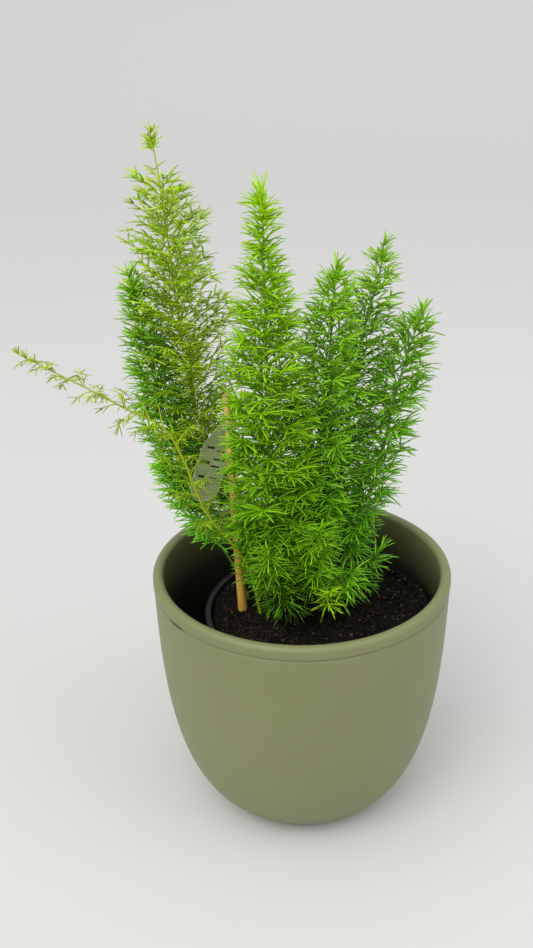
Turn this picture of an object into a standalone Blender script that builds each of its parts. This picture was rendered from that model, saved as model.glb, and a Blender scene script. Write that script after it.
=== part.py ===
# Foxtail fern in a nursery pot that stands in a sage green cachepot.
# Metres, +Z up. The origin is the centre of the cachepot's flat underside.
import math
import random

import bmesh
import bpy
import numpy as np
from mathutils import Vector

CLEARANCE = 0.0003

# Cachepot
POT_HEIGHT = 0.133
POT_SIDES = 36
WALL_RADIUS = 0.07484
WALL_TAPER = 0.0192
OUTER_REACH = 0.1379
INNER_REACH = 0.1333
WALL_STEPS = 9
WALL_LOWEST = 0.9925
WALL_HIGHEST = 0.075
WALL_CROWDING = 1.35
INSIDE_STEPS = 6
INSIDE_CROWDING = 0.7
WALL_THICKNESS = 0.0046
FLOOR_DEPTH = 0.1227
FOOT_RADIUS = 0.039
RIM_RADIUS = 0.075
RIM_ROLL = 0.0027
RIM_STEPS = 4
RIM_BAND = 0.0060
GROOVE_DEPTH = 0.0007
GROOVE_HEIGHT = 0.0008

# Nursery pot
NURSERY_CENTRE = Vector((0.0084, -0.0020, 0.0))
NURSERY_RIM_Z = 0.1080
NURSERY_RIM_RADIUS = 0.0580
NURSERY_BODY_RADIUS = 0.0562
NURSERY_SHOULDER_RADIUS = 0.0410
NURSERY_SHOULDER_RISE = 0.0050
NURSERY_BASE_RADIUS = 0.0370
NURSERY_WALL = 0.0010
NURSERY_RIM_HEIGHT = 0.0060
NURSERY_EDGE = 0.0004
NURSERY_SIDES = 32
DRAIN_HOLES = 6
DRAIN_RADIUS = 0.0035
DRAIN_RING_RADIUS = 0.0270
DRAIN_SIDES = 10
DRAIN_OVERCUT = 0.002

# Soil
SOIL_Z = 0.1060
SOIL_SIDES = 24
SOIL_RINGS = 4
SOIL_BUMP = 0.0016
SOIL_MOUND = 0.0012
SOIL_MOUND_SPREAD = 0.0245
SOIL_EDGE_DROP = 0.0015
SOIL_EDGE_INSET = 0.0022
HOLE_RUN_OUT = 0.006
HOLE_SIDES = 6

# Cane and its label
CANE_RADIUS = 0.00265
CANE_SIDES = 12
CANE_BOTTOM = Vector((-0.0272, -0.0079, 0.030))
CANE_TOP = Vector((-0.0350, 0.0060, 0.222))
LABEL_HEIGHT = 0.2065
LABEL_LENGTH = 0.0425
LABEL_WIDTH = 0.0155
LABEL_NECK_WIDTH = 0.0050
LABEL_THICKNESS = 0.0007
LABEL_RUN = Vector((-0.33, -0.10, -0.94))
LABEL_ACROSS = Vector((0.90, 0.38, 0.05))
LABEL_BOW = 0.0022
LABEL_EYE_SIDES = 14
LABEL_EYE_HEIGHT = 0.0030
LABEL_STEPS = 5
LABEL_STRIPS = 4

# Stems
STEM_SIDES = 5
STEM_STEPS = 2
STEM_DEPTH = 0.012
GOLDEN_ANGLE = math.radians(137.5)
STEM_TAPER = 0.5
STEP_ALONG_STEM = 0.0066
SHORTEST_BRANCHLET = 0.0025
LEAN_LEAST = 54
LEAN_MOST = 70
LEAN_CLOSING = 18
BRANCHLET_RISE = 0.04
BRANCHLET_DROOP = 0.03

# Branchlets with their needles
CORE_RADIUS = 0.00055
WHORL_LENGTH = 0.0009
WHORL_SPACING = 0.0064
LEADER_LENGTH = 0.012
NEEDLE_RADIUS = 0.00045
NEEDLE_FORWARD = 0.72
OPENING = 62
OPENING_CLOSING = 22
OWN_CLEARANCE = 0.0001
SOIL_GAP = 0.005
POT_GAP = 0.0012

# Colours as the photo shows them: base colour, roughness
SAGE = ((0.250, 0.270, 0.140), 0.55)
BLACK_PLASTIC = ((0.020, 0.020, 0.022), 0.45)
SOIL_BROWN = ((0.025, 0.018, 0.012), 0.95)
CANE_TAN = ((0.560, 0.340, 0.150), 0.60)
LABEL_GREY = ((0.420, 0.480, 0.380), 0.40)
YELLOW_GREEN = ((0.300, 0.500, 0.040), 0.50)
BRIGHT_GREEN = ((0.150, 0.420, 0.020), 0.50)
MID_GREEN = ((0.080, 0.300, 0.025), 0.50)
DARK_GREEN = ((0.045, 0.210, 0.020), 0.50)
LIME_GREEN = ((0.400, 0.620, 0.030), 0.50)

# Each stem: its radius, its needles' length, the share of its length that is bare at the
# bottom, the reach of its foliage from there to the tip, and its points from the soil up
FRONDS = {
    "frond_tall_back": {
        "colour": YELLOW_GREEN, "seed": 11, "radius": 0.0011, "needle": 0.0080, "leafy_from": 0.22,
        "bare_below_tip": (0.012, 0.026),
        "reach": (0.017, 0.021, 0.025, 0.025, 0.023, 0.016, 0.006),
        "points": [(-0.015, 0.014, 0.107), (-0.028, 0.017, 0.143), (-0.049, 0.020, 0.198),
                   (-0.0565, 0.025, 0.238), (-0.061, 0.028, 0.286), (-0.064, 0.030, 0.318),
                   (-0.0665, 0.030, 0.338)]},
    "frond_dark_left": {
        "colour": DARK_GREEN, "seed": 12, "radius": 0.0011, "needle": 0.0105, "leafy_from": 0.26,
        "reach": (0.016, 0.019, 0.019, 0.016, 0.013, 0.008),
        "points": [(-0.022, 0.017, 0.107), (-0.035, 0.017, 0.137), (-0.058, 0.018, 0.180),
                   (-0.069, 0.020, 0.225), (-0.076, 0.018, 0.258), (-0.081, 0.016, 0.276)]},
    "frond_dark_low": {
        "colour": DARK_GREEN, "seed": 13, "radius": 0.0010, "needle": 0.0105, "leafy_from": 0.36,
        "reach": (0.012, 0.013, 0.014, 0.012, 0.007),
        "points": [(-0.028, 0.010, 0.107), (-0.037, 0.012, 0.128), (-0.052, 0.013, 0.150),
                   (-0.064, 0.014, 0.168), (-0.071, 0.013, 0.184)]},
    "frond_centre": {
        "colour": BRIGHT_GREEN, "seed": 14, "radius": 0.0012, "needle": 0.0110, "leafy_from": 0.10,
        "reach": (0.024, 0.027, 0.027, 0.026, 0.021, 0.014, 0.008),
        "points": [(-0.0125, 0.001, 0.107), (-0.0138, -0.006, 0.145), (-0.0143, -0.012, 0.200),
                   (-0.0150, -0.014, 0.250), (-0.0154, -0.014, 0.290), (-0.0154, -0.014, 0.318)]},
    "frond_right_inner": {
        "colour": MID_GREEN, "seed": 15, "radius": 0.0011, "needle": 0.0110, "leafy_from": 0.12,
        "reach": (0.019, 0.023, 0.024, 0.022, 0.018, 0.010),
        "points": [(0.001, 0.004, 0.107), (0.005, 0.004, 0.150), (0.010, 0.004, 0.204),
                   (0.0138, 0.004, 0.244), (0.0152, 0.004, 0.268), (0.0163, 0.004, 0.282)]},
    "frond_right_tall": {
        "colour": MID_GREEN, "seed": 16, "radius": 0.0012, "needle": 0.0095, "leafy_from": 0.16,
        "reach": (0.020, 0.023, 0.024, 0.021, 0.016, 0.008),
        "points": [(0.008, 0.012, 0.107), (0.0165, 0.016, 0.150), (0.0254, 0.022, 0.212),
                   (0.0315, 0.025, 0.252), (0.0370, 0.026, 0.272), (0.0388, 0.026, 0.287)]},
    "frond_right_outer": {
        "colour": DARK_GREEN, "seed": 17, "radius": 0.0011, "needle": 0.0110, "leafy_from": 0.18,
        "reach": (0.013, 0.015, 0.018, 0.019, 0.017, 0.011),
        "points": [(0.014, 0.005, 0.107), (0.0255, 0.009, 0.142), (0.0392, 0.012, 0.184),
                   (0.0454, 0.012, 0.216), (0.0512, 0.012, 0.242), (0.0562, 0.012, 0.258)]},
    "frond_arching": {
        "colour": YELLOW_GREEN, "seed": 18, "radius": 0.0009, "needle": 0.0055, "leafy_from": 0.20,
        "reach": (0.010, 0.013, 0.014, 0.014, 0.011, 0.009, 0.006),
        "points": [(-0.021, -0.006, 0.107), (-0.025, -0.010, 0.133), (-0.033, -0.012, 0.150),
                   (-0.0457, -0.014, 0.170), (-0.0553, -0.015, 0.199), (-0.063, -0.016, 0.214),
                   (-0.079, -0.017, 0.224), (-0.094, -0.018, 0.2335), (-0.111, -0.018, 0.243),
                   (-0.125, -0.018, 0.251)]},
    "shoot_front_left": {
        "colour": BRIGHT_GREEN, "seed": 21, "radius": 0.0009, "needle": 0.0105, "leafy_from": 0.30,
        "reach": (0.012, 0.015, 0.012, 0.008),
        "points": [(-0.010, -0.008, 0.107), (-0.012, -0.018, 0.128), (-0.014, -0.028, 0.146),
                   (-0.0155, -0.035, 0.160)]},
    "shoot_front_centre": {
        "colour": BRIGHT_GREEN, "seed": 22, "radius": 0.0009, "needle": 0.0105, "leafy_from": 0.30,
        "reach": (0.012, 0.015, 0.013, 0.008),
        "points": [(0.002, -0.005, 0.107), (0.004, -0.014, 0.132), (0.0065, -0.022, 0.152),
                   (0.009, -0.029, 0.168)]},
    "shoot_front_low": {
        "colour": MID_GREEN, "seed": 23, "radius": 0.0009, "needle": 0.0105, "leafy_from": 0.40,
        "reach": (0.010, 0.013, 0.008),
        "points": [(-0.003, -0.012, 0.107), (-0.0045, -0.022, 0.122), (-0.0055, -0.031, 0.136)]},
    "shoot_front_right": {
        "colour": MID_GREEN, "seed": 24, "radius": 0.0009, "needle": 0.0120, "leafy_from": 0.35,
        "reach": (0.013, 0.016, 0.011),
        "points": [(0.012, -0.004, 0.107), (0.017, -0.012, 0.125), (0.0245, -0.022, 0.140)]},
    "shoot_right_low": {
        "colour": DARK_GREEN, "seed": 25, "radius": 0.0009, "needle": 0.0120, "leafy_from": 0.35,
        "reach": (0.010, 0.012, 0.009),
        "points": [(0.020, 0.003, 0.107), (0.029, 0.003, 0.121), (0.037, 0.003, 0.131),
                   (0.043, 0.003, 0.139)]},
    "shoot_lime": {
        "colour": LIME_GREEN, "seed": 26, "radius": 0.0008, "needle": 0.0100, "leafy_from": 0.55,
        "reach": (0.008, 0.010, 0.008),
        "points": [(0.010, -0.014, 0.107), (0.012, -0.022, 0.119), (0.0137, -0.029, 0.130)]},
}


def clear_scene():
    for thing in list(bpy.data.objects):
        bpy.data.objects.remove(thing)


def material(name, finish):
    colour, roughness = finish
    made = bpy.data.materials.new(name)
    made.use_nodes = True
    shader = made.node_tree.nodes["Principled BSDF"]
    shader.inputs["Base Color"].default_value = (*colour, 1.0)
    shader.inputs["Roughness"].default_value = roughness
    shader.inputs["Metallic"].default_value = 0.0
    return made


def add_object(name, bm, finish=None):
    mesh = bpy.data.meshes.new(name)
    bm.to_mesh(mesh)
    bm.free()
    made = bpy.data.objects.new(name, mesh)
    bpy.context.collection.objects.link(made)
    if finish is not None:
        mesh.materials.append(material(name, finish))
    return made


def smooth(made, angle=math.radians(40)):
    made.data.shade_smooth()
    made.data.set_sharp_from_angle(angle=angle)


def turned(profile, sides):
    # Spins an (r, z) outline, from the axis back to the axis, into a closed body
    bm = bmesh.new()
    verts = [bm.verts.new((r, 0.0, z)) for r, z in profile]
    edges = [bm.edges.new(pair) for pair in zip(verts, verts[1:])]
    bmesh.ops.spin(bm, geom=verts + edges, cent=(0, 0, 0), axis=(0, 0, 1),
                   angle=2 * math.pi, steps=sides, use_merge=True)
    bmesh.ops.remove_doubles(bm, verts=bm.verts, dist=1e-6)
    bmesh.ops.recalc_face_normals(bm, faces=bm.faces)
    return bm


def tube(points, radii, sides, pointed=False):
    # A closed tube along the points, with a flat root and a flat or pointed end
    bm = bmesh.new()
    rings = []
    side = None
    for i, centre in enumerate(points):
        ahead = points[min(i + 1, len(points) - 1)] - points[max(i - 1, 0)]
        ahead = ahead.normalized()
        side = ahead.orthogonal() if side is None else side - ahead * side.dot(ahead)
        side = side.normalized()
        up = ahead.cross(side)
        if pointed and i == len(points) - 1:
            rings.append([bm.verts.new(centre)])
            continue
        ring = []
        for k in range(sides):
            turn = 2 * math.pi * k / sides
            ring.append(bm.verts.new(centre + (side * math.cos(turn) + up * math.sin(turn)) * radii[i]))
        rings.append(ring)
    for low, high in zip(rings, rings[1:]):
        for k in range(sides):
            n = (k + 1) % sides
            if len(high) == 1:
                bm.faces.new((low[k], low[n], high[0]))
            else:
                bm.faces.new((low[k], low[n], high[n], high[k]))
    bm.faces.new(rings[0][::-1])
    if not pointed:
        bm.faces.new(rings[-1])
    return bm


def join_all(base, parts, operation="UNION", solver="EXACT"):
    # One Boolean with everything in a collection, applied, then the collection is removed
    group = bpy.data.collections.new("parts_of_" + base.name)
    for part in parts:
        bpy.context.collection.objects.unlink(part)
        group.objects.link(part)
    bpy.context.scene.collection.children.link(group)
    step = base.modifiers.new("join", "BOOLEAN")
    step.operation = operation
    step.operand_type = "COLLECTION"
    step.collection = group
    step.solver = solver
    bpy.context.view_layer.objects.active = base
    base.select_set(True)
    bpy.ops.object.modifier_apply(modifier=step.name)
    for part in list(group.objects):
        bpy.data.objects.remove(part)
    bpy.data.collections.remove(group)


def keep_largest_body(made):
    # Drops loose scraps and the walls of sealed hollows
    bm = bmesh.new()
    bm.from_mesh(made.data)
    unseen = set(bm.verts)
    bodies = []
    while unseen:
        queue = [unseen.pop()]
        body = []
        while queue:
            vert = queue.pop()
            body.append(vert)
            for edge in vert.link_edges:
                other = edge.other_vert(vert)
                if other in unseen:
                    unseen.remove(other)
                    queue.append(other)
        bodies.append(body)
    bodies.sort(key=len)
    for body in bodies[:-1]:
        bmesh.ops.delete(bm, geom=body, context="VERTS")
    bm.to_mesh(made.data)
    bm.free()


def smooth_curve(points, steps):
    # Catmull-Rom curve through the points
    knots = [2 * points[0] - points[1]] + list(points) + [2 * points[-1] - points[-2]]
    line = []
    for a, b, c, d in zip(knots, knots[1:], knots[2:], knots[3:]):
        for i in range(steps):
            t = i / steps
            line.append(0.5 * ((2 * b) + (c - a) * t + (2 * a - 5 * b + 4 * c - d) * t * t
                               + (3 * b - a - 3 * c + d) * t * t * t))
    line.append(points[-1].copy())
    return line


def wall_radius(depth, reach, inset=0.0):
    # Egg-shaped wall: a slight taper that closes in towards the foot
    full = WALL_RADIUS - inset - WALL_TAPER * depth
    return full * (1 - (depth / reach) ** 3) ** 0.25


def cachepot():
    top = POT_HEIGHT
    profile = [(0.0, 0.0), (FOOT_RADIUS, 0.0)]
    for i in range(WALL_STEPS + 1):
        rise = (i / WALL_STEPS) ** WALL_CROWDING
        depth = POT_HEIGHT * (WALL_LOWEST + (WALL_HIGHEST - WALL_LOWEST) * rise)
        profile.append((wall_radius(depth, OUTER_REACH), top - depth))
    groove_z = top - RIM_BAND - GROOVE_HEIGHT
    profile.append((RIM_RADIUS - GROOVE_DEPTH, groove_z))
    profile.append((RIM_RADIUS, top - RIM_BAND))
    for i in range(RIM_STEPS + 1):
        turn = math.pi * i / RIM_STEPS
        profile.append((RIM_RADIUS - RIM_ROLL + RIM_ROLL * math.cos(turn),
                        top - RIM_ROLL + RIM_ROLL * math.sin(turn)))
    for i in range(1, INSIDE_STEPS + 1):
        depth = RIM_ROLL + (FLOOR_DEPTH - RIM_ROLL) * (i / INSIDE_STEPS) ** INSIDE_CROWDING
        profile.append((wall_radius(depth, INNER_REACH, WALL_THICKNESS), top - depth))
    profile.append((0.0, top - FLOOR_DEPTH))
    pot = add_object("cachepot", turned(profile, POT_SIDES), SAGE)
    smooth(pot)


def nursery_inside_radius(z):
    floor_z = POT_HEIGHT - FLOOR_DEPTH + CLEARANCE + NURSERY_SHOULDER_RISE
    rise = (z - floor_z) / (NURSERY_RIM_Z - floor_z)
    widening = NURSERY_BODY_RADIUS - NURSERY_SHOULDER_RADIUS
    return NURSERY_SHOULDER_RADIUS + widening * rise - NURSERY_WALL


def nursery_pot():
    foot_z = POT_HEIGHT - FLOOR_DEPTH + CLEARANCE
    shoulder_z = foot_z + NURSERY_SHOULDER_RISE
    rim_low = NURSERY_RIM_Z - NURSERY_RIM_HEIGHT
    under_rim = nursery_inside_radius(rim_low) + NURSERY_WALL
    profile = [
        (0.0, foot_z), (NURSERY_BASE_RADIUS, foot_z), (NURSERY_SHOULDER_RADIUS, shoulder_z),
        (under_rim, rim_low), (NURSERY_RIM_RADIUS - NURSERY_EDGE, rim_low),
        (NURSERY_RIM_RADIUS, NURSERY_RIM_Z - NURSERY_EDGE),
        (NURSERY_RIM_RADIUS - NURSERY_EDGE, NURSERY_RIM_Z),
        (nursery_inside_radius(NURSERY_RIM_Z), NURSERY_RIM_Z),
        (nursery_inside_radius(shoulder_z), shoulder_z),
        (NURSERY_BASE_RADIUS - NURSERY_WALL, foot_z + NURSERY_WALL), (0.0, foot_z + NURSERY_WALL)]
    pot = add_object("nursery_pot", turned(profile, NURSERY_SIDES), BLACK_PLASTIC)
    pot.location = NURSERY_CENTRE
    cutters = []
    for i in range(DRAIN_HOLES):
        turn = 2 * math.pi * (i + 0.5) / DRAIN_HOLES
        spot = Vector((math.cos(turn), math.sin(turn), 0.0)) * DRAIN_RING_RADIUS + NURSERY_CENTRE
        low = spot + Vector((0, 0, foot_z - DRAIN_OVERCUT))
        high = spot + Vector((0, 0, foot_z + NURSERY_WALL + DRAIN_OVERCUT))
        cutters.append(add_object("drain", tube([low, high], [DRAIN_RADIUS] * 2, DRAIN_SIDES)))
    bpy.context.view_layer.update()
    join_all(pot, cutters, "DIFFERENCE")
    smooth(pot)


def soil_height(x, y):
    # Low mounds of potting mix, a little higher where the stems stand
    mound = SOIL_MOUND * math.exp(-(x * x + y * y) / SOIL_MOUND_SPREAD ** 2)
    waves = 0.6 * math.sin(210 * x + 1.0) * math.cos(170 * y + 0.4) + 0.36 * math.sin(390 * y - 260 * x)
    return SOIL_Z + mound + SOIL_BUMP * waves


def soil(holes):
    foot_z = POT_HEIGHT - FLOOR_DEPTH + CLEARANCE + NURSERY_WALL + CLEARANCE
    shoulder_z = POT_HEIGHT - FLOOR_DEPTH + CLEARANCE + NURSERY_SHOULDER_RISE
    edge_z = SOIL_Z - SOIL_EDGE_DROP
    bm = bmesh.new()
    rings = []
    outline = [(NURSERY_BASE_RADIUS - NURSERY_WALL - CLEARANCE, foot_z),
               (nursery_inside_radius(shoulder_z) - 2 * CLEARANCE, shoulder_z),
               (nursery_inside_radius(edge_z) - 2 * CLEARANCE, edge_z)]
    for radius, z in outline:
        rings.append([(radius, z)] * SOIL_SIDES)
    top_radius = nursery_inside_radius(SOIL_Z) - SOIL_EDGE_INSET
    for k in range(SOIL_RINGS):
        rings.append([(top_radius * (1 - k / SOIL_RINGS), None)] * SOIL_SIDES)
    verts = []
    for ring in rings:
        row = []
        for i, (radius, z) in enumerate(ring):
            turn = 2 * math.pi * i / SOIL_SIDES
            x = NURSERY_CENTRE.x + radius * math.cos(turn)
            y = NURSERY_CENTRE.y + radius * math.sin(turn)
            row.append(bm.verts.new((x, y, soil_height(x, y) if z is None else z)))
        verts.append(row)
    for low, high in zip(verts, verts[1:]):
        for i in range(SOIL_SIDES):
            n = (i + 1) % SOIL_SIDES
            bm.faces.new((low[i], low[n], high[n], high[i]))
    middle = bm.verts.new((NURSERY_CENTRE.x, NURSERY_CENTRE.y,
                           soil_height(NURSERY_CENTRE.x, NURSERY_CENTRE.y)))
    for i in range(SOIL_SIDES):
        bm.faces.new((verts[-1][i], verts[-1][(i + 1) % SOIL_SIDES], middle))
    bm.faces.new(verts[0][::-1])
    bmesh.ops.triangulate(bm, faces=[face for face in bm.faces if len(face.verts) == 4])
    body = add_object("soil", bm, SOIL_BROWN)
    cutters = []
    for low, high, radius, sides in holes:
        reach = (low - high).normalized() * CLEARANCE
        wide = (radius + CLEARANCE) / math.cos(math.pi / sides)
        above = high + (high - low).normalized() * HOLE_RUN_OUT
        cutters.append(add_object("hole", tube([low + reach, above], [wide] * 2, sides)))
    join_all(body, cutters, "DIFFERENCE")


def cane():
    line = [CANE_BOTTOM, CANE_BOTTOM.lerp(CANE_TOP, 0.5), CANE_TOP]
    stick = add_object("cane", tube(line, [CANE_RADIUS] * 3, CANE_SIDES), CANE_TAN)
    smooth(stick)


def cane_point(z):
    t = (z - CANE_BOTTOM.z) / (CANE_TOP.z - CANE_BOTTOM.z)
    return CANE_BOTTOM.lerp(CANE_TOP, t)


def label_frame():
    # The cane's direction, the way the tongue hangs, its width's direction and its face
    along = (CANE_TOP - CANE_BOTTOM).normalized()
    run = LABEL_RUN.normalized()
    across = (LABEL_ACROSS - run * LABEL_ACROSS.dot(run)).normalized()
    return along, run, across, run.cross(across)


def bar_rows(bm, rows):
    for a, b in zip(rows, rows[1:]):
        for k in range(4):
            bm.faces.new((a[k], a[(k + 1) % 4], b[(k + 1) % 4], b[k]))


def label_width(t):
    if t < 0.4:
        return LABEL_NECK_WIDTH + (LABEL_WIDTH - LABEL_NECK_WIDTH) * math.sin(t / 0.4 * math.pi / 2)
    if t > 0.8:
        return LABEL_WIDTH * math.sqrt(1 - 0.8 * ((t - 0.8) / 0.2) ** 2)
    return LABEL_WIDTH


def plant_label():
    # An eye round the cane, and a tongue with a round end that hangs behind it
    along, run, across, face = label_frame()
    middle = cane_point(LABEL_HEIGHT)
    inner = (CANE_RADIUS + CLEARANCE) / math.cos(math.pi / LABEL_EYE_SIDES)
    side = along.orthogonal().normalized()
    front = along.cross(side)
    half_eye = LABEL_EYE_HEIGHT / 2
    bm = bmesh.new()
    rows = []
    for i in range(LABEL_EYE_SIDES):
        turn = 2 * math.pi * i / LABEL_EYE_SIDES
        out = side * math.cos(turn) + front * math.sin(turn)
        outer = inner + LABEL_THICKNESS
        rows.append([bm.verts.new(middle + out * radius + along * lift)
                     for radius, lift in ((inner, -half_eye), (inner, half_eye),
                                          (outer, half_eye), (outer, -half_eye))])
    bar_rows(bm, rows + rows[:1])
    eye = add_object("plant_label", bm, LABEL_GREY)

    away = (along * face.dot(along) - face).normalized()
    start = middle + away * (inner + LABEL_THICKNESS * 0.5)
    path = smooth_curve([start, start + run * (LABEL_LENGTH * 0.5) + away * LABEL_BOW,
                         start + run * LABEL_LENGTH], LABEL_STEPS)
    bm = bmesh.new()
    rows = []
    for i, centre in enumerate(path):
        t = i / (len(path) - 1)
        ahead = (path[min(i + 1, len(path) - 1)] - path[max(i - 1, 0)]).normalized()
        half = (across - ahead * across.dot(ahead)).normalized()
        thick = ahead.cross(half) * (LABEL_THICKNESS / 2)
        half = half * (label_width(t) / 2)
        rows.append([bm.verts.new(centre + half * u + thick * v)
                     for u, v in ((-1, -1), (1, -1), (1, 1), (-1, 1))])
    bar_rows(bm, rows)
    bm.faces.new(rows[0][::-1])
    bm.faces.new(rows[-1])
    bmesh.ops.triangulate(bm, faces=bm.faces)
    join_all(eye, [add_object("tongue", bm)])


class Clearances:
    # Straight runs already taken, so that foliage of one node keeps clear of the others
    def __init__(self):
        self.starts = np.zeros((0, 3))
        self.ends = np.zeros((0, 3))
        self.radii = np.zeros(0)
        self.owners = np.zeros(0, dtype=int)
        self.names = []

    def owner(self, name):
        if name not in self.names:
            self.names.append(name)
        return self.names.index(name)

    def take(self, name, start, end, radius):
        self.starts = np.vstack([self.starts, np.array(start)])
        self.ends = np.vstack([self.ends, np.array(end)])
        self.radii = np.append(self.radii, radius)
        self.owners = np.append(self.owners, self.owner(name))

    def gap(self, name, start, end, radius, own=False):
        # Least distance from this run's surface to the runs of other nodes, or of its own node
        others = (self.owners == self.owner(name)) == own
        if not others.any():
            return 1.0
        p, q = self.starts[others], self.ends[others]
        d1 = np.array(end) - np.array(start)
        d2 = q - p
        r = np.array(start) - p
        a = d1 @ d1
        e = np.einsum("ij,ij->i", d2, d2)
        f = np.einsum("ij,ij->i", d2, r)
        b = d2 @ d1
        c = r @ d1
        denom = a * e - b * b
        s = np.where(denom > 1e-14, np.clip((b * f - c * e) / np.maximum(denom, 1e-14), 0, 1), 0.5)
        t = np.clip((b * s + f) / e, 0, 1)
        s = np.clip((b * t - c) / a, 0, 1)
        nearest = (np.array(start) + np.outer(s, d1)) - (p + d2 * t[:, None])
        return float((np.linalg.norm(nearest, axis=1) - self.radii[others]).min() - radius)


def take_label(taken):
    # The hanging tongue as thick runs side by side, a little longer than the tongue
    run, across, face = label_frame()[1:]
    width = LABEL_WIDTH / LABEL_STRIPS
    for i in range(LABEL_STRIPS):
        beside = across * (width * (i - (LABEL_STRIPS - 1) / 2))
        start = cane_point(LABEL_HEIGHT) + beside - face * (CANE_RADIUS + LABEL_BOW * 0.8)
        taken.take("plant_label", start, start + run * (LABEL_LENGTH * 1.04), width * 0.64)


def inside_pots(point):
    # True where a needle's end clears both pots and the soil
    if point.z < POT_HEIGHT + 0.001:
        depth = max(POT_HEIGHT - point.z, RIM_ROLL)
        wall = wall_radius(depth, INNER_REACH, WALL_THICKNESS)
        if math.hypot(point.x, point.y) > min(wall, RIM_RADIUS - 2 * RIM_ROLL) - POT_GAP:
            return False
    return point.z > SOIL_Z + SOIL_GAP


def stem_line(frond):
    # The stem from the bottom of its hole to where its leader takes over
    points = [Vector(p) for p in frond["points"]]
    line = smooth_curve(points, STEM_STEPS)
    return [line[0] - Vector((0, 0, STEM_DEPTH))] + line


class Course:
    # Places and directions along a line, by length
    def __init__(self, line):
        self.line = line
        self.marks = [0.0]
        for a, b in zip(line, line[1:]):
            self.marks.append(self.marks[-1] + (b - a).length)
        self.length = self.marks[-1]

    def at(self, s):
        s = min(max(s, 0.0), self.length)
        for i in range(1, len(self.marks)):
            if s <= self.marks[i]:
                break
        t = (s - self.marks[i - 1]) / (self.marks[i] - self.marks[i - 1])
        ahead = (self.line[i] - self.line[i - 1]).normalized()
        return self.line[i - 1].lerp(self.line[i], t), ahead


def sideways(ahead, azimuth):
    # A direction square to the line; azimuth 0 leans to +X
    base = Vector((1, 0, 0)) - ahead * ahead.x
    base.normalize()
    return base * math.cos(azimuth) + ahead.cross(base) * math.sin(azimuth)


def reach_at(frond, t):
    stations = frond["reach"]
    place = min(max(t, 0.0), 0.9999) * (len(stations) - 1)
    i = int(place)
    return stations[i] + (stations[i + 1] - stations[i]) * (place - i)


def branchlet_lines(frond):
    # Yields each branchlet's root, middle and end, from the lowest to the tip, then the leader
    rng = random.Random(frond["seed"])
    course = Course(stem_line(frond)[1:])
    start = course.length * frond["leafy_from"]
    bare_low, bare_high = frond.get("bare_below_tip", (0.0, 0.0))
    s = start
    count = 0
    while s < course.length - LEADER_LENGTH * 0.4:
        t = (s - start) / (course.length - start)
        root, ahead = course.at(s)
        azimuth = count * GOLDEN_ANGLE + rng.uniform(-0.35, 0.35)
        lean = math.radians(rng.uniform(LEAN_LEAST, LEAN_MOST) - LEAN_CLOSING * t)
        reach = reach_at(frond, t) * rng.uniform(0.86, 1.08)
        length = (reach - NEEDLE_FORWARD * frond["needle"]) / math.sin(lean)
        away = ahead * math.cos(lean) + sideways(ahead, azimuth) * math.sin(lean)
        if length > SHORTEST_BRANCHLET and not bare_low < course.length - s < bare_high:
            middle = root + away * (length * 0.5) + Vector((0, 0, BRANCHLET_RISE * length))
            end = root + away * length - Vector((0, 0, BRANCHLET_DROOP * length))
            yield [root, middle, end]
        s += STEP_ALONG_STEM * rng.uniform(0.8, 1.2)
        count += 1
    low = course.length - min(LEADER_LENGTH, bare_low or LEADER_LENGTH)
    yield [course.at(low)[0], course.at((low + course.length) / 2)[0], course.at(course.length)[0]]


class Spray:
    # A slim three-sided core whose faces are raised into needles, whorl by whorl
    def __init__(self, line, whorls, first_turn):
        self.course = Course(line)
        self.rings = [self.ring(0.0, first_turn, CORE_RADIUS * 1.1)]
        self.needles = {}
        self.whorls = []
        for i in range(whorls):
            middle = self.course.length * (i + 1) / whorls - WHORL_LENGTH / 2
            turn = first_turn + (i + 1) * math.radians(60)
            radius = CORE_RADIUS * (1 - 0.15 * (i + 1) / whorls)
            self.rings.append(self.ring(middle - WHORL_LENGTH / 2, turn, radius))
            self.rings.append(self.ring(middle + WHORL_LENGTH / 2, turn, radius))
            self.whorls.append((len(self.rings) - 2, middle, turn))

    def ring(self, s, turn, radius):
        place, ahead = self.course.at(s)
        return [place + sideways(ahead, turn + 2 * math.pi * k / 3) * radius for k in range(3)]

    def build(self, name):
        bm = bmesh.new()
        rings = [[bm.verts.new(spot) for spot in ring] for ring in self.rings]
        for i, (low, high) in enumerate(zip(rings, rings[1:])):
            for k in range(3):
                n = (k + 1) % 3
                corners = [low[k], low[n], high[n], high[k]]
                self.cover(bm, corners, self.needles.get((i, k)))
        bm.faces.new(rings[0][::-1])
        self.cover(bm, rings[-1], self.needles.get("end"))
        bmesh.ops.triangulate(bm, faces=bm.faces)
        return add_object(name, bm)

    @staticmethod
    def cover(bm, corners, tip):
        if tip is None:
            bm.faces.new(corners)
            return
        point = bm.verts.new(tip)
        for a, b in zip(corners, corners[1:] + corners[:1]):
            bm.faces.new((a, b, point))


def fits(taken, name, start, end, radius):
    # Clear of the pots, the soil, every other node and this node's own runs
    if not inside_pots(end):
        return False
    if taken.gap(name, start, end, radius) < CLEARANCE:
        return False
    return taken.gap(name, start.lerp(end, 0.2), end, radius, own=True) > OWN_CLEARANCE


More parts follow.
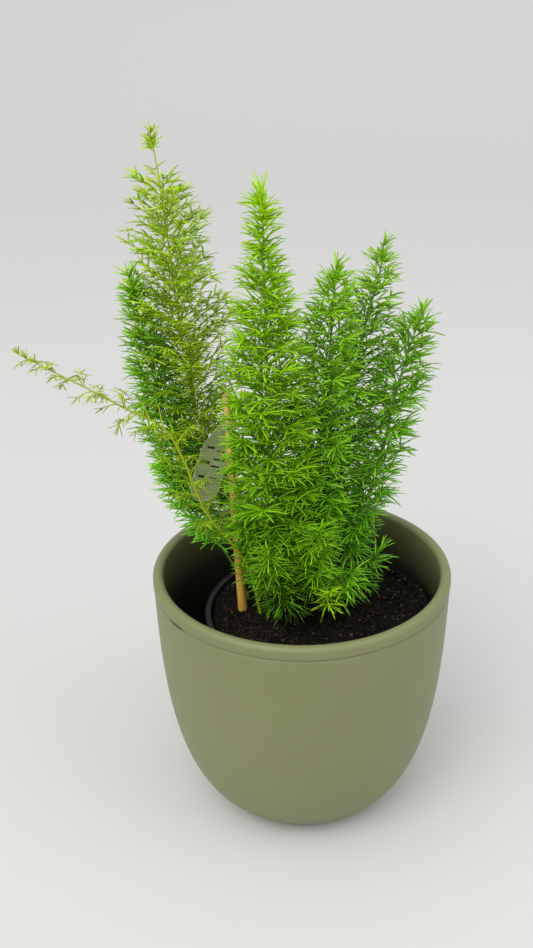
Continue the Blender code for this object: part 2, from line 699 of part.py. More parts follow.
def grow_spray(taken, name, frond, rng, line, whorls):
    first = rng.uniform(0, 2 * math.pi)
    spray = Spray(line, whorls, first)
    grown = []
    for number, (ring, middle, turn) in enumerate(spray.whorls):
        place, ahead = spray.course.at(middle)
        opening = OPENING - OPENING_CLOSING * (number + 1) / len(spray.whorls)
        for k in range(3):
            azimuth = turn + math.radians(60 + 120 * k)
            for attempt in range(8):
                swing = azimuth + rng.uniform(-0.55, 0.55)
                spread = math.radians(opening + rng.uniform(-9, 9))
                size = frond["needle"] * rng.uniform(0.88, 1.05) * (1 - 0.04 * attempt)
                away = ahead * math.cos(spread) + sideways(ahead, swing) * math.sin(spread)
                tip = place + away * size
                if fits(taken, name, place, tip, NEEDLE_RADIUS):
                    spray.needles[(ring, k)] = tip
                    grown.append((place, tip))
                    break
    place, ahead = spray.course.at(spray.course.length)
    tip = place + (ahead + sideways(ahead, first) * 0.15).normalized() * frond["needle"] * 0.95
    if fits(taken, name, place, tip, NEEDLE_RADIUS):
        spray.needles["end"] = tip
        grown.append((place, tip))
    for start, end in grown:
        taken.take(name, start, end, NEEDLE_RADIUS * 0.7)
    return spray


def grow_frond(taken, name, frond):
    rng = random.Random(frond["seed"] + 100)
    sprays = []
    for line in branchlet_lines(frond):
        root, middle, end = line
        leader = (end - Vector(frond["points"][-1])).length < 1e-5
        clear = inside_pots(end)
        for a, b in ((root.lerp(middle, 0.3), middle), (middle, end)):
            clear = clear and taken.gap(name, a, b, CORE_RADIUS) > CLEARANCE
        if not (clear or leader):
            continue
        length = (end - root).length
        whorls = max(1, round(length / WHORL_SPACING))
        sprays.append(grow_spray(taken, name, frond, rng, line, whorls))
        taken.take(name, root.lerp(middle, 0.3), middle, CORE_RADIUS)
        taken.take(name, middle, end, CORE_RADIUS)
    return sprays


def frond_object(name, frond, sprays):
    line = stem_line(frond)
    last = len(line) - 1
    radii = [frond["radius"] * (1 - STEM_TAPER * max(i - 1, 0) / (last - 1)) for i in range(last + 1)]
    line[-1] = line[-2].lerp(line[-1], 0.5)
    bm = tube(line, radii, STEM_SIDES)
    bmesh.ops.triangulate(bm, faces=bm.faces)
    stem = add_object(name, bm, frond["colour"])
    join_all(stem, [spray.build("spray") for spray in sprays], solver="MANIFOLD")
    keep_largest_body(stem)


def main():
    clear_scene()
    cachepot()
    nursery_pot()
    taken = Clearances()
    holes = [(CANE_BOTTOM, cane_point(SOIL_Z), CANE_RADIUS, CANE_SIDES)]
    taken.take("cane", CANE_BOTTOM, CANE_TOP, CANE_RADIUS)
    take_label(taken)
    for name, frond in FRONDS.items():
        line = stem_line(frond)
        holes.append((line[0], line[1], frond["radius"], HOLE_SIDES))
        for a, b in zip(line, line[1:]):
            taken.take(name, a, b, frond["radius"])
    soil(holes)
    cane()
    plant_label()
    for name, frond in FRONDS.items():
        frond_object(name, frond, grow_frond(taken, name, frond))


main()
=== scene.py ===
import math
import random

import bpy
import numpy as np
from mathutils import Matrix, Vector, noise


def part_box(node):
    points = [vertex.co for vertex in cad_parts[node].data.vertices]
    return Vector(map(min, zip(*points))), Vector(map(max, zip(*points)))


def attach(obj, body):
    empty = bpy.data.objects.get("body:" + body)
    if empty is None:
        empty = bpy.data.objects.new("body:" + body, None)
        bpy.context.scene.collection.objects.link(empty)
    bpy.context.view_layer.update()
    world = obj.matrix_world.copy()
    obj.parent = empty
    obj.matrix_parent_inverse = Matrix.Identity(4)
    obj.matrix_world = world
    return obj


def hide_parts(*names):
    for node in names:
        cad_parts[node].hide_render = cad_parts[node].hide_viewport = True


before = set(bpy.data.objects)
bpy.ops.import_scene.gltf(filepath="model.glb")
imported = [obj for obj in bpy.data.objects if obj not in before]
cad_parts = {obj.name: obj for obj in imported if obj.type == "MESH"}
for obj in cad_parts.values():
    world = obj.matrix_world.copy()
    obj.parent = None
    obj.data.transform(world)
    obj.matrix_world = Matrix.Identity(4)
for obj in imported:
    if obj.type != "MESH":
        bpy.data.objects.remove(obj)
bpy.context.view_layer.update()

# The potted fern, piece by piece: camera and stage, the two pots, the soil,
# the cane with its tag, and last the leafy stems.


# Small helpers

def pickOnly(piece):
    bpy.ops.object.select_all(action="DESELECT")
    piece.select_set(True)
    bpy.context.view_layer.objects.active = piece


def applyAll(piece):
    # place, turn and scale go into the mesh
    pickOnly(piece)
    bpy.ops.object.transform_apply(location=True, rotation=True, scale=True)


def applyModifier(piece, kind, **settings):
    pickOnly(piece)
    step = piece.modifiers.new(kind.lower(), kind)
    for key, value in settings.items():
        setattr(step, key, value)
    bpy.ops.object.modifier_apply(modifier=step.name)


def dress(piece, name, material, slotName, *nodes):
    # the last touch on every piece: its name, finish, body and the solids it stands for
    piece.name = name
    piece.data.name = name
    piece.data.materials.clear()
    piece.data.materials.append(material)
    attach(piece, "root")
    if nodes:
        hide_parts(*nodes)
    return piece


def meshArrays(piece):
    # a modelled piece as plain arrays, so that it can be copied many times
    verts = np.array([v.co for v in piece.data.vertices])
    faces = [list(f.vertices) for f in piece.data.polygons]
    bpy.data.objects.remove(piece)
    return verts, faces


def meshFrom(name, verts, faces):
    mesh = bpy.data.meshes.new(name)
    mesh.from_pydata(verts, [], faces)
    mesh.update()
    piece = bpy.data.objects.new(name, mesh)
    bpy.context.collection.objects.link(piece)
    return piece


def carry(piece, name, kind, values):
    # an attribute on the points, for a material to read
    field = {"FLOAT": "value", "FLOAT_VECTOR": "vector", "FLOAT_COLOR": "color"}[kind]
    piece.data.attributes.new(name, kind, "POINT").data.foreach_set(field, values)


def tubesAlong(name, lines, roundness):
    # one tube for each (points, radii), its ends closed
    curve = bpy.data.curves.new(name, "CURVE")
    curve.dimensions = "3D"
    curve.bevel_depth = 1.0              # so a point's radius is the real one
    curve.bevel_resolution = roundness
    curve.use_fill_caps = True
    for points, radii in lines:
        spline = curve.splines.new("POLY")
        spline.points.add(len(points) - 1)
        for knot, point, radius in zip(spline.points, points, radii):
            knot.co = (*point, 1.0)
            knot.radius = radius
    piece = bpy.data.objects.new(name, curve)
    bpy.context.collection.objects.link(piece)
    pickOnly(piece)
    bpy.ops.object.convert(target="MESH")
    return bpy.context.object


def turnedPiece(profile, sides):
    # a disc whose face is pushed up and scaled ring by ring, through (radius, height)
    radius, height = profile[0]
    bpy.ops.object.select_all(action="DESELECT")
    bpy.ops.mesh.primitive_circle_add(vertices=sides, radius=radius, fill_type="NGON",
                                      location=(0, 0, height))
    piece = bpy.context.object
    applyAll(piece)
    bpy.ops.object.mode_set(mode="EDIT")
    bpy.ops.mesh.select_all(action="SELECT")
    for (oldRadius, oldHeight), (radius, height) in zip(profile, profile[1:]):
        bpy.ops.mesh.extrude_region_move(TRANSFORM_OT_translate={"value": (0, 0, height - oldHeight)})
        grow = radius / oldRadius
        bpy.ops.transform.resize(value=(grow, grow, 1), center_override=(0, 0, height))
    bpy.ops.mesh.select_all(action="SELECT")
    bpy.ops.mesh.normals_make_consistent(inside=False)
    bpy.ops.object.mode_set(mode="OBJECT")
    return piece


def smoothCurve(points, steps):
    # Catmull-Rom curve through the points
    knots = [2 * points[0] - points[1]] + list(points) + [2 * points[-1] - points[-2]]
    line = []
    for a, b, c, d in zip(knots, knots[1:], knots[2:], knots[3:]):
        for i in range(steps):
            t = i / steps
            line.append(0.5 * ((2 * b) + (c - a) * t + (2 * a - 5 * b + 4 * c - d) * t * t
                               + (3 * b - a - 3 * c + d) * t * t * t))
    line.append(points[-1].copy())
    return line


class Course:
    # places and directions along a line, by length
    def __init__(self, line):
        self.line = line
        self.marks = [0.0]
        for a, b in zip(line, line[1:]):
            self.marks.append(self.marks[-1] + (b - a).length)
        self.length = self.marks[-1]

    def at(self, s):
        s = min(max(s, 0.0), self.length)
        for i in range(1, len(self.marks)):
            if s <= self.marks[i]:
                break
        t = (s - self.marks[i - 1]) / (self.marks[i] - self.marks[i - 1])
        ahead = (self.line[i] - self.line[i - 1]).normalized()
        return self.line[i - 1].lerp(self.line[i], t), ahead


def sideways(ahead, azimuth):
    # square to the line; azimuth 0 leans to +X
    base = (Vector((1, 0, 0)) - ahead * ahead.x).normalized()
    return base * math.cos(azimuth) + ahead.cross(base) * math.sin(azimuth)


# Node groups and materials

def newMaterial(name):
    material = bpy.data.materials.new(name)
    material.use_nodes = True
    tree = material.node_tree
    return material, tree, tree.nodes["Principled BSDF"]


def setSockets(node, values):
    for name, value in values.items():
        node.inputs[name].default_value = value


def addNode(tree, kind, place=(0, 0), sockets=None, **settings):
    node = tree.nodes.new(kind)
    node.location = place
    for key, value in settings.items():
        setattr(node, key, value)
    setSockets(node, sockets or {})
    return node


def wire(tree, *links):
    # each link: a node and its output, then a node and its input
    for start, output, end, entry in links:
        tree.links.new(start.outputs[output], end.inputs[entry])


def newGroup(name, inputs, outputs):
    group = bpy.data.node_groups.new(name, "ShaderNodeTree")
    for inOut, sockets in (("INPUT", inputs), ("OUTPUT", outputs)):
        for socketName, kind in sockets:
            group.interface.new_socket(name=socketName, in_out=inOut, socket_type="NodeSocket" + kind)
    return group, addNode(group, "NodeGroupInput", (-900, 200)), addNode(group, "NodeGroupOutput", (700, 0))


def rampColours(node, stops):
    ramp = node.color_ramp
    while len(ramp.elements) < len(stops):
        ramp.elements.new(0.5)
    for element, (place, colour) in zip(ramp.elements, stops):
        element.position = place
        element.color = (*colour, 1.0)


def makeMottleGroup():
    # soft blotches and a fine grain: a colour that varies a little, and a height for bump
    group, start, end = newGroup(
        "mottle", (("Vector", "Vector"), ("Color A", "Color"), ("Color B", "Color"),
                   ("Blotch Scale", "Float"), ("Grain Scale", "Float")),
        (("Color", "Color"), ("Height", "Float")))
    blotch = addNode(group, "ShaderNodeTexNoise", (-450, 150), {"Detail": 4.0})
    grain = addNode(group, "ShaderNodeTexNoise", (-450, -150), {"Detail": 3.0})
    share = addNode(group, "ShaderNodeMapRange", (-200, 150), {"From Min": 0.3, "From Max": 0.7})
    both = addNode(group, "ShaderNodeMath", (-200, -150), {1: 0.35}, operation="MULTIPLY_ADD")
    mix = addNode(group, "ShaderNodeMix", (150, 100), data_type="RGBA")
    wire(group, (start, "Vector", blotch, "Vector"), (start, "Vector", grain, "Vector"),
         (start, "Blotch Scale", blotch, "Scale"), (start, "Grain Scale", grain, "Scale"),
         (blotch, "Fac", share, "Value"), (share, "Result", mix, "Factor"),
         (start, "Color A", mix, "A"), (start, "Color B", mix, "B"),
         (blotch, "Fac", both, 0), (grain, "Fac", both, 2),
         (mix, "Result", end, "Color"), (both, "Value", end, "Height"))
    return group


def makeLeafGroup():
    # reads what each needle carries: its own tone (with painted shade on the inner twigs), the way to its
    # tip, its height and how woody it is
    group, start, end = newGroup(
        "leafTone", [(name, "Color") for name in ("Low Color", "Top Color", "Fresh Color", "Stem Color")],
        (("Color", "Color"), ("Roughness", "Float")))
    carried = addNode(group, "ShaderNodeAttribute", (-900, -100), attribute_name="leafTone")
    parts = addNode(group, "ShaderNodeSeparateColor", (-700, -100))
    byHeight = addNode(group, "ShaderNodeMix", (-400, 200), data_type="RGBA")
    tipShare = addNode(group, "ShaderNodeMath", (-500, -150), {1: 0.45}, operation="MULTIPLY")
    fresh = addNode(group, "ShaderNodeMix", (-150, 100), data_type="RGBA")
    light = addNode(group, "ShaderNodeMapRange", (-400, -350), {"To Min": 0.62, "To Max": 1.30}, clamp=False)
    toned = addNode(group, "ShaderNodeHueSaturation", (100, 50))
    stem = addNode(group, "ShaderNodeMix", (400, 50), data_type="RGBA")
    rough = addNode(group, "ShaderNodeMapRange", (100, -300), {"To Min": 0.34, "To Max": 0.52})
    wire(group, (carried, "Color", parts, "Color"),
         (start, "Low Color", byHeight, "A"), (start, "Top Color", byHeight, "B"),
         (parts, "Blue", byHeight, "Factor"), (parts, "Green", tipShare, 0),
         (tipShare, "Value", fresh, "Factor"), (byHeight, "Result", fresh, "A"),
         (start, "Fresh Color", fresh, "B"), (parts, "Red", light, "Value"),
         (fresh, "Result", toned, "Color"), (light, "Result", toned, "Value"),
         (carried, "Alpha", stem, "Factor"), (toned, "Color", stem, "A"),
         (start, "Stem Color", stem, "B"), (parts, "Red", rough, "Value"),
         (stem, "Result", end, "Color"), (rough, "Result", end, "Roughness"))
    return group


mottleGroup = makeMottleGroup()
leafGroup = makeLeafGroup()


def addMottle(tree, colourA, colourB, blotchScale, grainScale, vector=None):
    mottle = addNode(tree, "ShaderNodeGroup", (-500, 0), node_tree=mottleGroup)
    setSockets(mottle, {"Color A": (*colourA, 1.0), "Color B": (*colourB, 1.0),
                        "Blotch Scale": blotchScale, "Grain Scale": grainScale})
    if vector is None:
        vector = addNode(tree, "ShaderNodeTexCoord", (-800, 0)).outputs["Object"]
    tree.links.new(vector, mottle.inputs["Vector"])
    return mottle


def addBump(tree, shader, mottle, strength, distance):
    bump = addNode(tree, "ShaderNodeBump", (-200, -300), {"Strength": strength, "Distance": distance})
    wire(tree, (mottle, "Height", bump, "Height"), (bump, "Normal", shader, "Normal"))


def colourOver(tree, below, output, attribute, colour, place):
    # a second colour, as far as the piece carries the attribute
    mask = addNode(tree, "ShaderNodeAttribute", (place[0] - 300, place[1] + 200), attribute_name=attribute)
    mix = addNode(tree, "ShaderNodeMix", place, data_type="RGBA")
    setSockets(mix, {"B": (*colour, 1.0)})
    wire(tree, (mask, "Fac", mix, "Factor"), (below, output, mix, "A"))
    return mix


def mottledFinish(name, colours, scales, roughness, specular=0.5, bump=None):
    # two colours that mix in blotches, and a fine bump where one is asked for
    material, tree, shader = newMaterial(name)
    mottle = addMottle(tree, *colours, *scales)
    wire(tree, (mottle, "Color", shader, "Base Color"))
    setSockets(shader, {"Roughness": roughness, "Specular IOR Level": specular})
    if bump:
        addBump(tree, shader, mottle, *bump)
    return material


# Camera and stage

cameraView = {
    "focalPixels": 1000.0, "longSidePixels": 948, "sensor": 36.0,
    "back": 0.4383, "aboveRim": 0.25864,          # from the pot's axis, and over its rim
    "pitch": 25.45, "pan": -2.17, "roll": -1.22,  # degrees
}


def placeCamera():
    pitch, pan, roll = (math.radians(cameraView[key]) for key in ("pitch", "pan", "roll"))
    forward = Vector((math.sin(pan) * math.cos(pitch), math.cos(pan) * math.cos(pitch), -math.sin(pitch)))
    right = Vector((math.cos(pan), -math.sin(pan), 0))
    up = right.cross(forward)
    leanRight = right * math.cos(roll) + up * math.sin(roll)
    leanUp = up * math.cos(roll) - right * math.sin(roll)
    bpy.ops.object.select_all(action="DESELECT")
    bpy.ops.object.camera_add()
    camera = bpy.context.object
    camera.data.sensor_width = cameraView["sensor"]
    camera.data.lens = cameraView["focalPixels"] * cameraView["sensor"] / cameraView["longSidePixels"]
    turn = Matrix((leanRight, leanUp, -forward)).transposed().to_4x4()
    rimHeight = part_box("cachepot")[1].z
    place = (0, -cameraView["back"], rimHeight + cameraView["aboveRim"])
    camera.matrix_world = Matrix.Translation(place) @ turn
    bpy.context.scene.camera = camera


stageLook = {
    "sides": 128, "drop": 0.0002, "flatReach": 2.2, "sweepRadius": 2.6, "sweepDegrees": 60, "sweepSteps": 24,
    "floorColour": (0.66, 0.655, 0.64), "floorRoughness": 0.9, "floorSpecular": 0.1,
    "skyColour": (0.97, 0.985, 1.0), "skyStrength": 0.72,
    "sunPower": 1.0, "sunSpread": 70.0, "sunFrom": (-0.45, -0.55, 1.0),
    "lights": [  # name, place, what it faces, size, watts, colour
        ("keyLight", (-0.55, -0.85, 1.25), (0, 0, 0.16), 0.9, 6.5, (1.0, 0.985, 0.96)),
        ("fillLight", (1.00, -0.45, 1.10), (0, 0, 0.16), 1.1, 4.0, (0.97, 0.985, 1.0)),
    ],
}


def aimFrom(lamp, place, target):
    lamp.rotation_euler = (Vector(target) - Vector(place)).to_track_quat("-Z", "Y").to_euler()


def buildStage():
    # a paper floor that sweeps up all round, so that no horizon shows
    flat, sweep = stageLook["flatReach"], stageLook["sweepRadius"]
    bpy.ops.object.select_all(action="DESELECT")
    bpy.ops.mesh.primitive_circle_add(vertices=stageLook["sides"], radius=flat, fill_type="NGON",
                                      location=(0, 0, -stageLook["drop"]))
    floor = bpy.context.object
    floor.name = "studioFloor"
    bpy.ops.object.mode_set(mode="EDIT")
    bpy.ops.mesh.select_mode(type="EDGE")
    bpy.ops.mesh.select_all(action="SELECT")
    bpy.ops.mesh.inset(thickness=flat * 0.4)
    bpy.ops.mesh.select_all(action="SELECT")
    bpy.ops.mesh.region_to_loop()
    radius, height = flat, 0.0
    for step in range(1, stageLook["sweepSteps"] + 1):
        turn = math.radians(stageLook["sweepDegrees"]) * step / stageLook["sweepSteps"]
        newRadius, newHeight = flat + sweep * math.sin(turn), sweep * (1 - math.cos(turn))
        bpy.ops.mesh.extrude_region_move(TRANSFORM_OT_translate={"value": (0, 0, newHeight - height)})
        grow = newRadius / radius
        bpy.ops.transform.resize(value=(grow, grow, 1), center_override=(0, 0, 0))
        radius, height = newRadius, newHeight
    bpy.ops.mesh.select_mode(type="VERT")
    bpy.ops.object.mode_set(mode="OBJECT")
    bpy.ops.object.shade_smooth()
    material, tree, shader = newMaterial("studioFloorPaper")
    setSockets(shader, {"Base Color": (*stageLook["floorColour"], 1.0),
                        "Roughness": stageLook["floorRoughness"],
                        "Specular IOR Level": stageLook["floorSpecular"]})
    floor.data.materials.append(material)
    world = bpy.data.worlds.new("studio")
    world.use_nodes = True
    sky = world.node_tree.nodes["Background"]
    setSockets(sky, {"Color": (*stageLook["skyColour"], 1.0), "Strength": stageLook["skyStrength"]})
    bpy.context.scene.world = world
    bpy.ops.object.light_add(type="SUN")
    sun = bpy.context.object
    sun.name = "softSun"
    sun.data.energy = stageLook["sunPower"]
    sun.data.angle = math.radians(stageLook["sunSpread"])
    aimFrom(sun, stageLook["sunFrom"], (0, 0, 0))
    for name, place, target, size, watts, colour in stageLook["lights"]:
        bpy.ops.object.light_add(type="AREA", location=place)
        lamp = bpy.context.object
        lamp.name = name
        lamp.data.shape = "DISK"
        lamp.data.size = size
        lamp.data.energy = watts
        lamp.data.color = colour
        aimFrom(lamp, place, target)
    bpy.context.scene.view_settings.view_transform = "Standard"


placeCamera()
buildStage()
print("stage: camera, floor and soft lights")


# Cachepot

potShape = {
    "height": 0.133, "sides": 144, "wallRadius": 0.07484, "wallTaper": 0.0192, "wallThickness": 0.0046,
    "outerReach": 0.1379, "innerReach": 0.1333, "floorDepth": 0.1227, "footRadius": 0.0385,
    "rimRadius": 0.075, "rimRoll": 0.0027, "wallRings": 34, "insideRings": 22, "rimRings": 14,
    "wallSpan": (0.9925, 0.062), "ringBunching": 1.3,            # the wall's rings, as shares of the height
    "footRoll": ((0.0, 0.0), (0.0013, 0.00012), (0.0025, 0.0004)),      # out from the foot's edge, and up
    # the groove: in from the rim's edge and down from its top, from its lower lip to the rolled band
    "groove": ((0.00045, 0.0074), (0.00085, 0.0071), (0.00095, 0.0068), (0.00085, 0.0065),
               (0.0003, 0.0062), (0.00005, 0.0057), (0.0, 0.0050), (0.0, 0.0040)),
    "grooveDepth": 0.0068, "grooveHalf": 0.0007,                 # its middle, and half its width
    "nickFrom": -146.5, "nickTo": -138.5, "nickDepth": 0.0009,   # the short nick in it, degrees; its near-black colour is painted shade
}
potFinish = {
    "glazeA": (0.205, 0.219, 0.091), "glazeB": (0.188, 0.202, 0.080), "nickShadeColour": (0.003, 0.003, 0.003),
    "insideShadeColour": (0.010, 0.010, 0.006), "insideShadeFrom": 0.0028, "insideShadeDepth": 0.026,     # painted shade, darker down the inside
    "insideShadeMost": 0.96, "insideShadeCurve": 0.8,
    "roughness": 0.46, "blotchScale": 14.0, "grainScale": 1500.0, "bump": 0.10,
}


def wallRadius(depth, reach, inset=0.0):
    full = potShape["wallRadius"] - inset - potShape["wallTaper"] * depth
    return full * (1 - (depth / reach) ** 3) ** 0.25


def cachepotProfile():
    top = potShape["height"]
    foot = potShape["footRadius"]
    profile = [(foot * 0.55, 0.0)] + [(foot + out, up) for out, up in potShape["footRoll"]]
    rings = potShape["wallRings"]
    low, high = potShape["wallSpan"]
    for i in range(rings + 1):
        depth = top * (low + (high - low) * (i / rings) ** potShape["ringBunching"])
        profile.append((wallRadius(depth, potShape["outerReach"]), top - depth))
    rim = potShape["rimRadius"]
    profile += [(rim - inset, top - depth) for inset, depth in potShape["groove"]]
    roll = potShape["rimRoll"]
    for i in range(potShape["rimRings"] + 1):
        turn = math.pi * i / potShape["rimRings"]
        profile.append((rim - roll + roll * math.cos(turn), top - roll + roll * math.sin(turn)))
    inside = potShape["insideRings"]
    for i in range(1, inside + 1):
        depth = roll + (potShape["floorDepth"] - roll) * (i / inside) ** 0.8
        profile.append((wallRadius(depth, potShape["innerReach"], potShape["wallThickness"]), top - depth))
    profile.append((foot * 0.5, top - potShape["floorDepth"]))
    return profile


def nickShare(point):
    # 1 in the middle of the nick, 0 away from it
    angle = math.degrees(math.atan2(point.y, point.x))
    middle = (potShape["nickFrom"] + potShape["nickTo"]) / 2
    half = (potShape["nickTo"] - potShape["nickFrom"]) / 2
    return max(0.0, 1 - abs(angle - middle) / half)


def makeGlaze():
    # sage glaze, with painted shade: black in the nick and darker down the inside
    material, tree, shader = newMaterial("sageGlaze")
    mottle = addMottle(tree, potFinish["glazeA"], potFinish["glazeB"], potFinish["blotchScale"],
                       potFinish["grainScale"])
    # painted shade: the nick is coloured near black
    nick = colourOver(tree, mottle, "Color", "nick", potFinish["nickShadeColour"], (-200, 100))
    # painted shade: the inside is coloured darker with depth
    paintedShade = colourOver(tree, nick, "Result", "paintedInsideShade", potFinish["insideShadeColour"], (0, 100))
    wire(tree, (paintedShade, "Result", shader, "Base Color"))
    setSockets(shader, {"Roughness": potFinish["roughness"]})
    addBump(tree, shader, mottle, potFinish["bump"], 0.0002)
    return material


def buildCachepot():
    pot = turnedPiece(cachepotProfile(), potShape["sides"])
    groove = potShape["height"] - potShape["grooveDepth"]
    marks, insideShadeShares = [], []
    for vert in pot.data.vertices:
        radius = math.hypot(vert.co.x, vert.co.y)
        near = radius > potShape["rimRadius"] - 0.0015 and abs(vert.co.z - groove) < potShape["grooveHalf"]
        share = min(1.0, 3 * nickShare(vert.co)) if near else 0.0
        marks.append(share)
        if share > 0:
            shrink = 1 - potShape["nickDepth"] * share / radius
            vert.co.x *= shrink
            vert.co.y *= shrink
    # painted shade: how dark the inside is coloured, growing with depth
    for vert in pot.data.vertices:
        down = potShape["height"] - vert.co.z
        wall = wallRadius(max(down, 0.003), potShape["outerReach"])
        isInside = down > potFinish["insideShadeFrom"] and math.hypot(vert.co.x, vert.co.y) < wall - 0.003
        share = min(1.0, (down - potFinish["insideShadeFrom"]) / potFinish["insideShadeDepth"]) if isInside else 0.0
        insideShadeShares.append(potFinish["insideShadeMost"] * share ** potFinish["insideShadeCurve"])
    # painted shade: in the nick, and darker down the inside
    carry(pot, "nick", "FLOAT", marks)
    carry(pot, "paintedInsideShade", "FLOAT", insideShadeShares)
    pickOnly(pot)
    bpy.ops.object.shade_smooth_by_angle(angle=math.radians(50))
    dress(pot, "glazedCachepot", makeGlaze(), "sage_ceramic", "cachepot")


buildCachepot()
print("cachepot: turned, with its groove and nick")


# Nursery pot

nurseryShape = {
    "centre": Vector((0.0084, -0.0020, 0.0)), "sides": 96, "rimHeight": 0.1080, "rimRadius": 0.0580,
    "bodyRadius": 0.0562, "shoulderRadius": 0.0410, "shoulderRise": 0.0050, "baseRadius": 0.0370,
    "wall": 0.0010, "rimBand": 0.0060, "drainHoles": 6, "drainRadius": 0.0035, "drainRing": 0.0270,
    "colours": ((0.010, 0.010, 0.010), (0.020, 0.020, 0.018)), "scales": (60.0, 1200.0),    # blotches, grain
    "roughness": 0.5, "specular": 0.28, "bump": (0.15, 0.0002),
}
gapBetween = 0.0003                # between pieces that stand in one another
nurseryFoot = potShape["height"] - potShape["floorDepth"] + gapBetween


def nurseryInside(height):
    floor = nurseryFoot + nurseryShape["shoulderRise"]
    rise = (height - floor) / (nurseryShape["rimHeight"] - floor)
    widening = nurseryShape["bodyRadius"] - nurseryShape["shoulderRadius"]
    return nurseryShape["shoulderRadius"] + widening * rise - nurseryShape["wall"]


def buildNurseryPot():
    wall = nurseryShape["wall"]
    rim = nurseryShape["rimRadius"]
    top = nurseryShape["rimHeight"]
    shoulder = nurseryFoot + nurseryShape["shoulderRise"]
    bandLow = top - nurseryShape["rimBand"]
    profile = [(nurseryShape["baseRadius"] * 0.5, nurseryFoot), (nurseryShape["baseRadius"], nurseryFoot),
               (nurseryShape["shoulderRadius"], shoulder)]
    for share in (0.25, 0.5, 0.75, 1.0):
        height = shoulder + (bandLow - shoulder) * share
        profile.append((nurseryInside(height) + wall, height))
    profile += [(rim - 0.0004, bandLow), (rim - 0.0001, bandLow + 0.0003), (rim, bandLow + 0.0012),
                (rim, top - 0.0006), (rim - 0.0002, top - 0.0002), (rim - 0.0006, top),
                (nurseryInside(top) + 0.0004, top), (nurseryInside(top), top - 0.0003)]
    for share in (0.75, 0.5, 0.25, 0.0):
        height = shoulder + (top - 0.001 - shoulder) * share
        profile.append((nurseryInside(height), height))
    profile += [(nurseryShape["baseRadius"] - wall, nurseryFoot + wall),
                (nurseryShape["baseRadius"] * 0.4, nurseryFoot + wall)]
    pot = turnedPiece(profile, nurseryShape["sides"])
    pot.location = nurseryShape["centre"]
    applyAll(pot)
    drills = []
    for i in range(nurseryShape["drainHoles"]):
        turn = 2 * math.pi * (i + 0.5) / nurseryShape["drainHoles"]
        spot = Vector((math.cos(turn), math.sin(turn), 0)) * nurseryShape["drainRing"]
        spot += nurseryShape["centre"]
        bpy.ops.mesh.primitive_cylinder_add(vertices=24, radius=nurseryShape["drainRadius"], depth=0.006,
                                            location=(spot.x, spot.y, nurseryFoot))
        drills.append(bpy.context.object)
    pickOnly(drills[0])
    for drill in drills[1:]:
        drill.select_set(True)
    bpy.ops.object.join()
    drill = bpy.context.object
    applyModifier(pot, "BOOLEAN", operation="DIFFERENCE", object=drill)
    bpy.data.objects.remove(drill)
    pickOnly(pot)
    bpy.ops.object.shade_smooth_by_angle(angle=math.radians(40))
    plastic = mottledFinish("nurseryPlastic", *(nurseryShape[key] for key in (
        "colours", "scales", "roughness", "specular", "bump")))
    dress(pot, "blackNurseryPot", plastic, "black_plastic", "nursery_pot")


buildNurseryPot()
print("nursery pot: thin wall, rolled rim and drain holes")


# Soil

soilShape = {
    "height": 0.1060, "sides": 160, "rings": 52, "edgeDrop": 0.0015, "edgeInset": 0.0012,
    "bump": 0.0016, "mound": 0.0012, "moundSpread": 0.0245,
    "crumbs": 3600, "fibres": 360, "chips": 46, "seed": 5,
    "lump": 0.0011, "lumpScale": 160, "pit": 0.0004, "pitScale": 620,
    "crumbSize": (0.0006, 0.0020), "rimCrumbSize": (0.0008, 0.0014),     # the least, and how much more
    "spill": 0.0020, "spillTurn": -0.15, "spilled": 900,     # soil on the rim, and the side it lies on
    "spillFrom": 0.040, "spillWidth": 0.013, "spillReach": 1.25,
    "fibreLength": (0.002, 0.010), "fibreRadius": (0.00005, 0.00015), "fibreReach": 0.0525,
    "coirSpot": (-0.026, -0.028), "coirSpread": (0.010, 0.012), "coirReach": 0.051,
    "chipSize": (0.0018, 0.0042),
}
soilFinish = {
    "scales": (260.0, 1400.0), "specular": 0.15, "bump": (0.6, 0.0006),
    "earth": ((0.0016, 0.0014, 0.0009), (0.0062, 0.0048, 0.0026)), "earthRoughness": 0.92,
    "bark": ((0.016, 0.0065, 0.003), (0.060, 0.025, 0.010)), "barkRoughness": 0.75,
    "coir": ((0.008, 0.005, 0.002), (0.075, 0.046, 0.020)), "coirScales": (190.0, 2500.0),
    "coirRoughness": 0.75,
    "crumbs": [(0.0, (0.0015, 0.0012, 0.0010)), (0.50, (0.0055, 0.0040, 0.0026)),
               (0.82, (0.011, 0.0085, 0.005)), (0.94, (0.050, 0.058, 0.036)), (1.0, (0.11, 0.060, 0.024))],
}


def soilHeight(x, y):
    mound = soilShape["mound"] * math.exp(-(x * x + y * y) / soilShape["moundSpread"] ** 2)
    waves = 0.6 * math.sin(210 * x + 1.0) * math.cos(170 * y + 0.4) + 0.36 * math.sin(390 * y - 260 * x)
    return soilShape["height"] + mound + soilShape["bump"] * waves


def spillShare(x, y):
    # how much the soil is heaped towards the rim, on the side that it was spilled on
    away = Vector((x, y, 0)) - nurseryShape["centre"]
    side = math.cos(math.atan2(away.y, away.x) - soilShape["spillTurn"])
    near = min(max((away.length - soilShape["spillFrom"]) / soilShape["spillWidth"], 0.0), 1.0)
    return min(max((side - 0.15) / 0.5, 0.0), 1.0) * near * near * (3 - 2 * near)


def soilSurface(x, y):
    # the mounds with the lumps on them
    coarse, fine = soilShape["lumpScale"], soilShape["pitScale"]
    lumps = noise.fractal(Vector((x * coarse, y * coarse, 0.3)), 0.8, 2.1, 4)
    pits = noise.noise(Vector((x * fine, y * fine, 4.0)))
    return (soilHeight(x, y) + soilShape["lump"] * lumps + soilShape["pit"] * pits
            + soilShape["spill"] * spillShare(x, y))


def makeSoil(name, colours, roughness):
    return mottledFinish(name, colours, soilFinish["scales"], roughness, soilFinish["specular"],
                         soilFinish["bump"])


